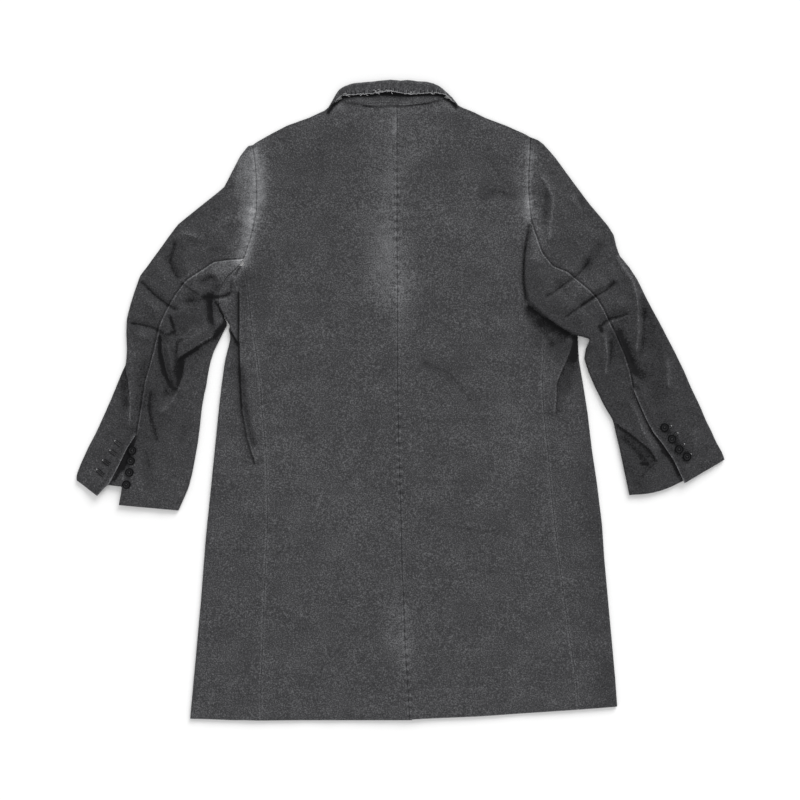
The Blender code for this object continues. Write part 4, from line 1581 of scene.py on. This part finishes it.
# The sides, from the hem up: the side fold, then the side-back seam.
LEFT_SIDE = np.array([
    (-346, -525, -229, -528), (-340, -462, -229, -462), (-334, -396, -226, -396),
    (-328, -330, -224, -330), (-323, -264, -221, -264), (-318, -206, -218, -206),
    (-311, -140, -219, -140), (-305, -79, -221, -79), (-299, -20, -227, -20),
    (-294, 25, -230, 25), (-288, 66, -235, 66), (-280, 99, -240, 99), (-281, 123, -245, 127),
    (-298, 152, -247, 152), (-300, 176, -250, 178), (-289, 198, -253, 200), (-265, 221, -257, 221),
], dtype=float)

RIGHT_SIDE = np.array([
    (358, -505, 294, -510), (355, -462, 290, -462), (349, -396, 280, -396), (343, -330, 271, -330),
    (337, -264, 262, -264), (333, -206, 255, -206), (325, -140, 248, -140), (316, -79, 243, -79),
    (309, -20, 237, -20), (302, 25, 234, 25), (295, 66, 236, 66), (293, 99, 237, 99),
    (292, 124, 237, 124), (277, 145, 235, 145), (248, 165, 231, 163),
], dtype=float)

# The centre-back seam, from the hem up.
CENTRE_BACK = (
    (16, -526), (12, -462), (8, -396), (6, -330), (3, -264), (2, -206), (0, -140), (-2, -79),
    (-3, -20), (-4, 25), (-4, 116), (-4, 182), (-5, 248), (-5, 330), (-5, 406), (-5, 489),
)

# The shoulders and the neck, from the armhole to the middle.
LEFT_NECKLINE = (
    (-243, 421), (-234, 426), (-211, 439), (-186, 452), (-150, 465), (-124, 477), (-113, 486),
    (-101, 494), (-90, 498), (-66, 493), (-40, 490), (-5, 489),
)

RIGHT_NECKLINE = (
    (215, 434), (206, 438), (177, 451), (140, 465), (122, 474), (102, 482), (91, 488),
    (80, 496), (70, 498), (41, 493), (16, 490), (-5, 489),
)

# The sleeves, from the shoulder down to the cuff, with the four points that Sleeve names.
LEFT_SLEEVE = np.array([
    (-251, 418, -243, 420, -243, 420, -243, 420), (-264, 401, -238, 386, -238, 386, -238, 386),
    (-290, 351, -236, 346, -236, 346, -236, 346), (-328, 320, -237, 307, -237, 307, -237, 307),
    (-365, 290, -246, 267, -246, 267, -246, 267), (-382, 268, -258, 233, -258, 233, -264, 223),
    (-397, 247, -280, 231, -280, 231, -287, 200), (-412, 226, -307, 227, -307, 227, -299, 178),
    (-428, 205, -331, 211, -331, 211, -298, 153), (-436, 183, -351, 198, -351, 198, -285, 126),
    (-444, 158, -369, 175, -369, 175, -295, 104), (-450, 134, -383, 152, -383, 152, -306, 82),
    (-451, 109, -396, 124, -396, 124, -312, 64), (-450, 82, -405, 86, -405, 86, -316, 45),
    (-452, 59, -412, 58, -412, 58, -319, 26), (-464, 31, -420, 30, -420, 30, -323, 8),
    (-478, -3, -425, -3, -425, -3, -327, -16), (-490, -30, -430, -33, -430, -33, -330, -45),
    (-501, -54, -434, -56, -434, -56, -333, -69), (-515, -81, -449, -80, -452, -82, -337, -92),
    (-526, -105, -463, -109, -471, -112, -342, -119), (-532, -121, -478, -137, -480, -138, -347, -139),
    (-533, -127, -488, -147, -458, -143, -350, -148), (-533, -132, -498, -158, -463, -173, -365, -182),
], dtype=float)

RIGHT_SLEEVE = np.array([
    (229, 427, 215, 433, 215, 433, 215, 433), (237, 421, 214, 404, 214, 404, 214, 404),
    (257, 398, 212, 376, 212, 376, 212, 376), (284, 361, 212, 346, 212, 346, 212, 346),
    (314, 321, 214, 318, 214, 318, 214, 318), (342, 288, 217, 292, 217, 292, 218, 283),
    (352, 272, 224, 270, 224, 270, 209, 259), (357, 252, 234, 243, 234, 243, 205, 228),
    (363, 236, 252, 221, 252, 221, 205, 196), (378, 218, 277, 210, 277, 210, 211, 163),
    (392, 196, 302, 189, 302, 189, 243, 135), (405, 170, 322, 171, 322, 171, 269, 117),
    (416, 149, 334, 152, 334, 152, 292, 106), (427, 129, 344, 132, 344, 132, 312, 100),
    (441, 102, 357, 104, 357, 104, 306, 84), (455, 75, 370, 74, 370, 74, 304, 68),
    (468, 48, 378, 48, 378, 48, 311, 45), (480, 20, 384, 18, 384, 18, 323, 18),
    (493, -7, 394, -7, 400, -7, 337, -10), (504, -33, 406, -34, 413, -34, 351, -34),
    (513, -51, 417, -54, 424, -54, 356, -56), (521, -69, 432, -73, 439, -73, 363, -86),
    (530, -85, 450, -99, 456, -99, 370, -119), (535, -98, 468, -137, 472, -130, 378, -157),
], dtype=float)

# The lower end of the right armhole, which the sleeve covers.
HIDDEN_RIGHT_ARMHOLE = ((224, 185), (216, 211), (214, 241), (214, 267), (216, 283))

# The collar's lines, from left to right.
COLLAR_TOP = (
    (-118, 482), (-107, 500), (-100, 510.5), (-91, 517), (-77, 521.5), (-44, 524.5), (-15, 527.5),
    (1, 525.8), (12, 527), (27, 525.2), (44, 524), (57, 520.5), (68, 514.5), (77, 506), (86, 498),
    (95, 487),
)

COLLAR_RAW_EDGE = (
    (-107, 490.5), (-98, 499), (-88, 501.5), (-66, 503), (-46, 503), (-34, 506),
    (-16, 507.5), (-5, 505), (12, 503), (33, 504), (50, 504.5), (64, 504), (75, 501.5), (82, 497),
    (86, 491),
)

NECK_SEAM = (
    (-88, 490), (-76, 488), (-43, 484.5), (-14, 485), (8, 485), (33, 487.6), (50, 490), (68, 494),
)

STAND_TOP = (
    (-98, 500), (-88, 510), (-60, 515), (-14, 517), (30, 517), (60, 514), (78, 503),
)

# Each buttonhole's end away from the vent and its end beside it, from the top down.
LEFT_BUTTONHOLES = (
    ((-468, -68), (-459, -75)), ((-476, -83.5), (-467, -90)), ((-488, -99.5), (-477, -106.5)),
    ((-498, -115), (-487, -124.5)),
)

RIGHT_BUTTONHOLES = (
    ((445, -43), (436, -48)), ((456, -55), (447, -63)), ((467, -73), (458, -79)),
    ((478, -89.5), (466, -97)),
)

# Folds: the line, the width and the height, for a lap its reach too, then the tone and the core.
BODY_CREASES = (
    lap([(-265, 182), (-266, 91), (-263, 41), (-261, -13), (-250, -71), (-238, -106)], 3.0, 3.8, 30.0),
    lap([(-303, 162), (-287, 131), (-266, 90)], 3.0, 4.2, 24.0),
    ridge([(-183, 183), (-200, 145), (-224, 101)], 10.0, 1.6, 0.08),
    lap([(256, -26), (258.5, 8), (259, 28), (270, 54), (279, 75), (289, 102)], 4.0, 3.4, 24.0, 0.26),
    trough([(140, 403), (165, 370), (185, 343)], 11.0, 1.5, 0.08),
    trough([(124, 350), (150, 346), (185, 339)], 9.0, 1.2, 0.1),
    trough([(26, 396), (68, 384), (109, 378)], 13.0, 1.4, 0.07),
    trough([(26, 66), (81, 45), (124, -12)], 12.0, 1.6, 0.1),
    trough([(53, -205), (120, -214), (193, -226)], 12.0, 1.6, 0.09),
    trough([(-64, -122), (-36, -152), (-16, -185)], 12.0, 1.4, 0.06),
    ridge([(-60, 330), (-48, 190)], 24.0, 1.4, 0.03),
    ridge([(300, -380), (318, -300)], 15.0, 1.6, 0.06),
    ridge([(252, 76), (244, 0)], 12.0, 1.8, 0.06),
    trough([(-272, -408), (-246, -427)], 12.0, 1.0, 0.12),
)

# Worn bands and painted highlights where the strength is positive, painted shade where it is negative: the
# width, the strength and then the points.
LEFT_ARMHOLE_FADES = wear_and_shade_bands(
    (7.5, 0.52, (-240, 412), (-238, 350), (-240, 318), (-245, 289), (-251, 267), (-253, 248), (-262, 231)),
    (18.0, 0.45, (-252, 398), (-246, 350), (-249, 308)),
    (14.0, 0.22, (-264, 396), (-266, 340)),
    (15.0, 0.4, (-248, 304), (-258, 262), (-268, 236)),
    (28.0, 0.14, (-240, 410), (-232, 350), (-236, 292)),
    (5.5, 0.26, (-226, 402), (-227, 328)),
)

RIGHT_ARMHOLE_FADES = wear_and_shade_bands(
    (6.0, 0.32, (214, 404), (211, 350), (213, 318)),
    (18.0, 0.26, (216, 400), (210, 350), (210, 310)),
    (8.0, 0.34, (212, 326), (213, 304)),
    (9.0, 0.16, (224, 290), (222, 240)),
    (9.0, 0.3, (217, 418), (219, 404)),
)

CENTRE_FADES = wear_and_shade_bands(
    (40.0, 0.17, (-20, 440), (-24, 340), (-22, 180)),
    (34.0, 0.21, (-14, 240), (-10, 186)),
    (12.0, 0.12, (1, 196), (2, 60)),
    (14.0, 0.24, (8, -350), (8, -430)),
)

CENTRE_LEFT_FADES = wear_and_shade_bands(
    (15.0, 0.12, (-10, 474), (-14, 380), (-18, 250)),
    (6.0, 0.3, (-8, 458), (-8, 444)),
)

# Worn bands, and painted shade beside folds and along the right side where the strength is negative.
PANEL_FADES_AND_SHADES = wear_and_shade_bands(
    (45.0, 0.07, (75, 300), (190, 270)),
    (60.0, 0.055, (-230, -80), (-60, -200)),
    (50.0, -0.06, (-40, 420), (-180, 380)),
    (42.0, -0.16, (345, -220), (345, -350)),
    (32.0, -0.18, (345, -450), (348, -505)),
    (30.0, 0.1, (182, -20), (186, -96)),
    (7.0, -0.24, (134, 334), (160, 343), (186, 337)),
    (6.5, -0.2, (40, 58), (62, 48), (84, 32)),
    (22.0, -0.12, (308, -120), (314, -210)),
    (9.0, 0.2, (-229, 384), (-227, 332)),
    (15.0, 0.14, (-14, -336), (-14, -396)),
    (22.0, 0.13, (36, 442), (28, 410)),
    (14.0, 0.12, (-92, 466), (-70, 470)),
    (22.0, -0.12, (310, 60), (318, -80)),
)

NECK_SHADES = wear_and_shade_bands(
    (1.2, -0.85, (-60, 484.4), (-43, 482.8), (-14, 483.3), (8, 483.4), (33, 486), (50, 488.4)),
    (7.0, 0.14, (-98, 484), (-40, 478), (20, 477), (76, 481)),
    (6.0, 0.3, (-112, 478), (-98, 487)),
    (6.0, 0.3, (76, 488), (88, 480)),
    (2.4, -1.8, (-118, 474), (-111, 483), (-103, 491), (-96, 496.5)),
    (2.8, -1.8, (74, 498), (84, 492), (92, 483)),
)

UNDER_SLEEVE_SHADES = wear_and_shade_bands(
    (2.0, -0.9, (213, 288), (206.5, 255), (203.5, 228), (203, 196), (207, 166)),
    (2.6, -0.6, (212, 153), (240, 133), (262, 118), (286, 105)),
    (8.5, -1.0, (238, 128), (252, 119), (272, 107)),
    (9.0, -0.4, (214, 148), (234, 132)),
    (6.5, -0.35, (246, 104), (253, 92)),
    (5.0, -1.9, (289, 101), (288, 84), (286, 68)),
    (13.0, -0.5, (285, 62), (279, 44), (270, 24)),
    (2.0, -0.9, (-261, 224), (-270, 208)),
    (14.0, -0.3, (-258, 204), (-256, 172)),
    (10.0, 0.3, (-248, 264), (-252, 226)),
    (9.0, 0.55, (-266, 220), (-269, 206)),
    (8.0, -0.6, (214, 146), (224, 126), (238, 116)),
    (24.0, -0.14, (-232, 200), (-226, 166)),
    (12.0, -0.25, (262, 98), (284, 86)),
    (16.0, -0.25, (232, 98), (262, 78)),
    (1.8, -0.5, (-277, 195), (-279, 178)),
    (1.8, -0.7, (-277, 109), (-266, 93)),
    (1.2, -1.0, (-265.3, 176), (-264.7, 94), (-262.7, 21), (-260.2, -14)),
    (5.5, -0.6, (-262, 52), (-257, 2), (-249, -44), (-241, -72)),
    (1.2, 0.25, (-258, -38), (-250, -66)),
)

LEFT_PIT_SHADES = wear_and_shade_bands(
    (2.6, -1.1, (-303, 169), (-292, 171), (-281, 175)),
    (1.4, 0.4, (-304, 164.5), (-292, 165.5), (-280, 167.5)),
    (2.2, -1.1, (-303, 161), (-297, 151), (-292, 140), (-286, 128)),
)

# All the body's bands: worn ones, painted highlights and painted shade.
BODY_FADES_AND_SHADES = (
    *LEFT_ARMHOLE_FADES, *RIGHT_ARMHOLE_FADES, *CENTRE_FADES, *PANEL_FADES_AND_SHADES, *UNDER_SLEEVE_SHADES,
    *LEFT_PIT_SHADES, *NECK_SHADES,
)

LEFT_SLEEVE_CREASES = (
    trough([(-370, 267), (-373, 249), (-379, 228), (-372, 211), (-360, 194)], 8.0, 3.6, 0.3, 2.2),
    ridge([(-398, 244), (-396, 216), (-380, 190)], 10.0, 4.0, 0.1),
    ridge([(-352, 226), (-344, 212), (-336, 206)], 9.0, 3.0, 0.12),
    trough([(-429, 198), (-407, 176), (-395, 166), (-382, 156), (-364, 147)], 4.6, 4.0, 0.42, 1.4),
    ridge([(-424, 170), (-406, 154), (-386, 138)], 10.0, 5.0, 0.1),
    trough([(-447, 127), (-426, 124), (-404, 118), (-386, 107)], 4.6, 3.6, 0.42, 1.3),
    ridge([(-440, 110), (-418, 104), (-402, 94)], 8.0, 3.6, 0.1),
    trough([(-395, 108), (-396, 81), (-393, 63), (-383, 33), (-368, 18)], 7.0, 5.0, 0.32, 3.0),
    trough([(-360, 64), (-360, 48), (-366, 24)], 7.0, 5.0, 0.32, 3.2),
    ridge([(-384, 96), (-378, 70), (-372, 44)], 6.0, 3.4, 0.18),
    ridge([(-353, 64), (-358, 36), (-366, 12), (-378, -6), (-399, -25)], 7.0, 3.6, 0.34, 1.2),
    lap([(-366, 66), (-347, 78), (-323, 94), (-305, 104), (-286, 128)], 3.2, 6.5, 30.0, 0.34),
    ridge([(-372, 84), (-350, 98), (-318, 116), (-298, 138)], 9.0, 3.2, 0.14),
    trough([(-325, 198), (-313, 203), (-302, 197)], 6.0, 2.6, 0.2, 3.0),
    trough([(-330, 170), (-316, 168), (-303, 170)], 5.0, 3.4, 0.4, 3.0),
    trough([(-360, 161), (-345, 163), (-330, 165)], 7.0, 3.6, 0.26, 1.8),
    ridge([(-368, 176), (-346, 178), (-328, 184)], 8.0, 3.0, 0.1),
    trough([(-313, 168), (-313, 152), (-311, 136), (-308, 122)], 5.0, 3.4, 0.36, 3.0),
    trough([(-409, 20), (-413, -8), (-411, -26), (-407, -40), (-403, -56), (-397, -72)],
           7.0, 2.8, 0.28, 2.8),
    trough([(-379, 142), (-376, 129), (-371, 112)], 6.0, 2.8, 0.3, 2.0),
    trough([(-422, -78), (-416, -94), (-412, -120)], 8.0, 2.4, 0.12, 2.4),
    ridge([(-452, 59), (-446, 21), (-444, -25), (-447, -50)], 8.0, 3.4, 0.26, 1.2),
    ridge([(-365, 276), (-340, 270), (-315, 264)], 9.0, 2.4, 0.12),
    ridge([(-300, 240), (-268, 262)], 14.0, 3.6, 0.06),
    ridge([(-330, 40), (-338, -20), (-344, -80)], 14.0, 1.8, 0.05),
    trough([(-354, -30), (-362, -80)], 14.0, 1.6, 0.06, 4.0),
)

# Worn bands, thin painted highlights and, where the strength is negative, painted shade in the folds and beside
# the buttonholes.
LEFT_SLEEVE_FADES_AND_SHADES = wear_and_shade_bands(
    (4.0, 0.14, (-368, 270), (-358, 277), (-338, 272)),
    (5.0, -0.25, (-310, 247), (-300, 249)),
    (6.0, -0.4, (-325, 196), (-313, 202), (-302, 197), (-303, 184), (-309, 171)),
    (5.0, -0.15, (-360, 161), (-345, 163), (-330, 165), (-316, 169)),
    (5.6, -0.75, (-313.5, 172), (-313.5, 152), (-311.5, 136), (-308.5, 124)),
    (1.2, 0.3, (-308, 166), (-308, 150), (-305.5, 132)),
    (22.0, -0.16, (-330, 152), (-352, 130)),
    (2.0, -1.0, (-395.5, 106), (-396, 81), (-392.5, 63), (-389, 48), (-383, 33), (-378, 22), (-368, 18)),
    (3.8, -0.8, (-394, 72), (-388, 44)),
    (7.0, -0.5, (-382, 14), (-368, 16)),
    (1.3, 0.4, (-391, 92), (-389.5, 72), (-383, 41), (-377.5, 27), (-368, 22)),
    (4.0, -0.9, (-359.5, 65), (-359.5, 50), (-362, 36), (-365.5, 25)),
    (7.0, -0.7, (-366, 62), (-366, 42)),
    (2.4, -1.1, (-358, 70), (-347, 76.5), (-333, 86)),
    (3.6, -1.7, (-304, 106), (-297, 115), (-289, 126)),
    (2.6, -0.7, (-359, 99.5), (-364.6, 96), (-366, 91), (-367, 79)),
    (1.6, 0.25, (-338, 122.6), (-351.5, 109.4), (-360, 101)),
    (1.8, 0.14, (-330, 116), (-345, 100)),
    (2.4, -0.5, (-379, 140), (-376, 129), (-371, 116), (-370, 107)),
    (2.0, -0.9, (-386.5, 107), (-380, 108), (-371, 113)),
    (1.4, 0.3, (-360, 153.5), (-330, 152)),
    (1.6, -0.7, (-360, 193), (-346, 183), (-331, 174)),
    (7.0, -0.6, (-455, 48), (-453, 20), (-450, -8)),
    (1.8, -0.7, (-452.5, 50), (-448.5, 34), (-446.5, 12)),
    (1.3, 0.3, (-450, 48), (-445, 24), (-443, 0), (-444, -30)),
    (9.0, -0.3, (-420, 62), (-426, 30), (-427, -5)),
    (40.0, 0.07, (-420, -140), (-350, -150)),
    (9.0, -0.2, (-382, 236), (-362, 212)),
    (13.0, 0.2, (-286, 302), (-300, 280)),
    (8.0, 0.25, (-344, 203), (-322, 212)),
    (9.0, -0.16, (-420, -98), (-411, -140)),
    (3.4, -0.6, (-466, -70), (-461, -73)),
    (3.4, -0.6, (-474, -85), (-469, -88)),
    (3.4, -0.6, (-486, -101), (-479, -105)),
    (3.4, -0.6, (-496, -117), (-489, -122)),
    (45.0, -0.17, (-365, 95), (-400, 10), (-425, -40)),
)

# Worn bands by the armpit, painted shadow in the vent under the flap and a light line along the underlap's edge.
LEFT_UNDERSLEEVE_FADES_AND_SHADES = wear_and_shade_bands(
    (15.0, 0.44, (-258, 228), (-276, 220), (-300, 214)),
    (3.0, 0.2, (-290, 225), (-310, 220)),
    (2.8, -1.8, (-438, -65), (-443, -78)),
    (5.2, -2.0, (-445, -82), (-452, -99), (-458, -111)),
    (2.6, -0.9, (-462, -117), (-470, -132)),
    (1.3, 0.4, (-456, -118), (-456.5, -142)),
)

RIGHT_SLEEVE_CREASES = (
    trough([(236, 168), (252, 177), (274, 193), (290, 204), (302, 216), (314, 233)], 5.0, 3.0, 0.3, 1.2),
    ridge([(252, 194), (276, 212), (300, 232)], 10.0, 4.2, 0.08),
    trough([(267, 133), (294, 152), (322, 171), (338, 180), (357, 196)], 5.0, 3.4, 0.34, 1.2),
    ridge([(290, 164), (318, 184), (342, 198)], 10.0, 4.2, 0.08),
    ridge([(268, 129), (296, 147), (324, 166), (340, 175)], 3.4, 1.4, 0.2, 1.0),
    ridge([(239, 164), (255, 173), (277, 189), (293, 200)], 3.4, 1.2, 0.14, 1.0),
    ridge([(333, 117), (348, 129), (362, 133), (379, 140)], 3.4, 1.4, 0.26, 1.0),
    trough([(328, 118), (337, 128), (346, 134), (361, 137), (379, 144)], 4.6, 3.2, 0.42, 1.3),
    ridge([(346, 150), (362, 156), (378, 160)], 8.0, 3.0, 0.08),
    ridge([(356, 240), (368, 218), (383, 196), (390, 170), (392, 134), (392, 108), (388, 74)],
          6.0, 4.6, 0.34, 1.2),
    trough([(403, 158), (402, 130), (400, 100), (395, 66)], 9.0, 3.6, 0.18, 3.0),
    ridge([(349, 118), (362, 100), (372, 70), (380, 48), (390, 20)], 6.0, 3.6, 0.2),
    trough([(355, 118), (365, 96), (376, 72), (385, 50)], 8.0, 3.4, 0.2, 4.4),
    ridge([(337, 112), (341, 74), (338, 35)], 8.0, 3.4, 0.42, 1.3),
    trough([(346, 108), (348, 80), (345, 54)], 9.0, 2.4, 0.14, 3.0),
    lap([(354, -38), (381, -58), (410, -82), (424, -101)], 3.4, 5.0, 26.0, 0.3),
    trough([(360, -54), (390, -84), (414, -112)], 10.0, 2.4, 0.2, 4.0),
    trough([(422, -102), (404, -114), (393, -132)], 8.0, 2.4, 0.16, 2.0),
    ridge([(441, 74), (442, 15)], 7.0, 2.0, 0.34, 1.2),
    ridge([(376, 2), (389, -21), (398, -48), (411, -68), (423, -89)], 7.0, 2.6, 0.28, 1.3),
    ridge([(227, 368), (237, 363), (245, 350), (252, 330), (250, 310), (247, 288), (246, 256)],
          7.0, 3.4, 0.3, 1.4),
    trough([(240, 350), (240, 320), (236, 280)], 10.0, 2.4, 0.14, 4.0),
    ridge([(282, 343), (289, 315)], 7.0, 2.4, 0.18, 1.3),
    trough([(294, 340), (302, 312)], 8.0, 2.0, 0.1, 3.0),
    ridge([(487, -43), (485, -87)], 7.0, 1.8, 0.14),
    ridge([(232, 410), (246, 396)], 10.0, 1.8, 0.16),
)

# Worn bands, thin painted highlights and, where the strength is negative, painted shade in the folds and by the
# cuff.
RIGHT_SLEEVE_FADES_AND_SHADES = wear_and_shade_bands(
    (50.0, 0.14, (240, 370), (285, 290), (330, 230)),
    (15.0, 0.3, (226, 306), (232, 272), (226, 240)),
    (34.0, 0.12, (262, 196), (330, 176)),
    (26.0, -0.06, (318, 96), (335, 60)),
    (16.0, -0.22, (412, 150), (425, 70), (420, 0)),
    (13.0, 0.2, (284, 204), (296, 190)),
    (70.0, -0.05, (300, 190), (420, -60)),
    (7.5, -0.55, (436, -48), (450, -64), (459, -79), (471, -93)),
    (13.0, -0.2, (374, -100), (392, -132)),
    (9.0, -0.6, (360, 112), (368, 95), (379, 72), (388, 48)),
    (3.4, -0.6, (371, 80), (378, 64), (385, 48)),
    (10.0, -0.45, (390, 44), (402, 38)),
    (2.8, -1.4, (329, 121), (332, 114)),
    (6.0, -0.25, (346, 108), (348, 80), (345, 54)),
    (8.0, -0.35, (306, 222), (318, 240), (328, 254)),
    (4.0, -0.5, (346, 189), (353, 195)),
    (2.0, -0.7, (300, 157), (312, 165), (321, 171)),
    (6.0, -0.25, (397, 166), (400, 140)),
    (2.0, 0.14, (409, 29), (425, 46)),
    (8.0, 0.12, (254, 402), (266, 372)),
)

# Painted shade along the vent and in the cuff's folds.
RIGHT_UNDERSLEEVE_SHADES = wear_and_shade_bands(
    (2.4, -0.6, (411, -48), (428, -74), (441, -92), (450, -104), (458, -122)),
    (2.0, -0.9, (397, -103), (408, -103)),
    (3.0, -0.8, (431, -84), (441, -90)),
)


def build_body(cloth: Finish, side_cloth: Finish, armholes: tuple[Array, Array]) -> Body:
    """Lay the fronts, the back panels and the side panels.

    Args:
        cloth: the finish of the back.
        side_cloth: the finish of the fronts and sides.
        armholes: the left and the right armhole's seam.

    Returns:
        The body.
    """
    left_armhole, right_armhole = armholes
    body = Body(HEM, LEFT_SIDE, RIGHT_SIDE, CENTRE_BACK, LEFT_NECKLINE, RIGHT_NECKLINE, left_armhole,
                right_armhole, HIDDEN_RIGHT_ARMHOLE, Relief(BODY_CREASES, BODY_FADES_AND_SHADES, 11, 0.0, 0.22))
    hidden = np.concatenate([np.array(HIDDEN_RIGHT_ARMHOLE, float), right_armhole])
    left_line = np.concatenate([body.left_seam, left_armhole])
    right_line = np.concatenate([body.right_seam, hidden])
    body.front(Shell("front_left", "cloth_side", (0.27, 1.0), 0.247, ()), LEFT_SIDE, left_armhole,
               (-124, 476), False, side_cloth)
    body.front(Shell("front_right", "cloth_side", (0.30, 1.0), 0.247, ("front_left_cloth",)), RIGHT_SIDE,
               hidden, (100, 480), True, side_cloth)
    fronts = ("front_left_cloth", "front_right_cloth")
    body.back(Shell("back_left", "cloth", (0.26, 1.02), 0.233, fronts), left_line, LEFT_NECKLINE,
              CENTRE_LEFT_FADES, cloth)
    body.back(Shell("back_right", "cloth", (0.29, 1.02), 0.245, fronts), right_line, RIGHT_NECKLINE,
              (), cloth)
    body.side(Shell("side_left", "cloth_side", (0.2, 0.76), 0.117, ()), LEFT_SIDE, side_cloth)
    body.side(Shell("side_right", "cloth_side", (0.16, 0.68), 0.095, ()), RIGHT_SIDE, side_cloth)
    return body


def build_sleeves(body: Body, cloth: Finish) -> tuple[Sleeve, Sleeve]:
    """Lay the left sleeve beside the body and the right sleeve over it.

    Args:
        body: the body that they are sewn to.
        cloth: their finish.

    Returns:
        The left and the right sleeve.
    """
    # Each sleeve's worn bands, painted highlights and painted shade.
    left_fades_and_shades = (*LEFT_ARMHOLE_FADES, *LEFT_SLEEVE_FADES_AND_SHADES, *LEFT_PIT_SHADES)
    right_fades_and_shades = (*RIGHT_ARMHOLE_FADES, *RIGHT_SLEEVE_FADES_AND_SHADES)
    left = Sleeve("left", LEFT_SLEEVE, Relief(LEFT_SLEEVE_CREASES, left_fades_and_shades, 21, -0.15, 0.8), body,
                  body.left_armhole, 18, False, under_fades_and_shades=LEFT_UNDERSLEEVE_FADES_AND_SHADES)
    right = Sleeve("right", RIGHT_SLEEVE, Relief(RIGHT_SLEEVE_CREASES, right_fades_and_shades, 41, -0.24, 0.8), body,
                   body.right_armhole, 17, True, hem_bow=7.0, under_fades_and_shades=RIGHT_UNDERSLEEVE_SHADES)
    for sleeve, rests, top_area, under_area in (
            (left, (), 0.090, 0.070), (right, ("back_right_cloth", "side_right_cloth"), 0.099, 0.062)):
        top = Shell(f"topsleeve_{sleeve.side}", "cloth", (0.2, 0.64), top_area, rests)
        under = Shell(f"undersleeve_{sleeve.side}", "cloth_side", (0.18, 0.45), under_area, rests)
        sleeve.topsleeve(top, cloth)
        sleeve.undersleeve(under, cloth)
    return left, right


def main() -> None:
    """Build and dress the coat."""
    logging.basicConfig(level=logging.INFO, format="%(name)s %(message)s")
    Studio().build()
    cloth = Twill().material()
    side_cloth = Twill(name="washed_twill_side", charcoal=(0.0445, 0.0445, 0.047)).material()
    from_seam = np.linspace(5.0, 0.0, 80)
    armholes = (glide(LEFT_SLEEVE[:, 2:4], from_seam), glide(RIGHT_SLEEVE[:, 2:4], from_seam))
    body = build_body(cloth, side_cloth, armholes)
    left, right = build_sleeves(body, cloth)
    collar = Collar(COLLAR_TOP, COLLAR_RAW_EDGE, NECK_SEAM, STAND_TOP)
    collar.stand(Shell("collar_stand", "cloth_side", (0.2, 0.03), 0.005, ("back_left_cloth",)), side_cloth)
    collar.fall(Shell("collar_fall", "cloth", (0.22, 0.05), 0.0081, ("collar_stand_cloth",)), cloth)
    # The button's lighter second colour is its painted highlight, laid on the ring that the tone attribute
    # marks.
    button = Plain("button_black", (0.003, 0.003, 0.0035), (0.055, 0.055, 0.058), scale=900.0,
                   roughness=0.35, gloss=0.05, bump_height=0.0001, by_tone=True).material()
    worn_thread = Plain("worn_thread", (0.06, 0.06, 0.063), (0.12, 0.12, 0.124)).material()
    # Near-black thread for the collar's stitches, also laid in the buttonholes as painted shadow.
    dark_thread_and_shade = Plain("dark_thread_and_shade", (0.004, 0.004, 0.005), (0.012, 0.012, 0.013)).material()
    yarn = Plain("loose_yarn", (0.22, 0.22, 0.225), (0.52, 0.52, 0.53)).material()
    threads = (dark_thread_and_shade, worn_thread, yarn)
    collar.stitches(dark_thread_and_shade)
    collar.fray(yarn)
    for sleeve, holes in ((left, LEFT_BUTTONHOLES), (right, RIGHT_BUTTONHOLES)):
        for number, (start, end) in enumerate(holes, start=1):
            Buttonhole().build(f"{sleeve.side}_{number}", start, end, sleeve, threads)
    for sleeve in (left, right):
        for number in range(1, 5):
            Button().build(f"cuff_button_{sleeve.side}_{number}", button, worn_thread)


if __name__ == "__main__":
    main()
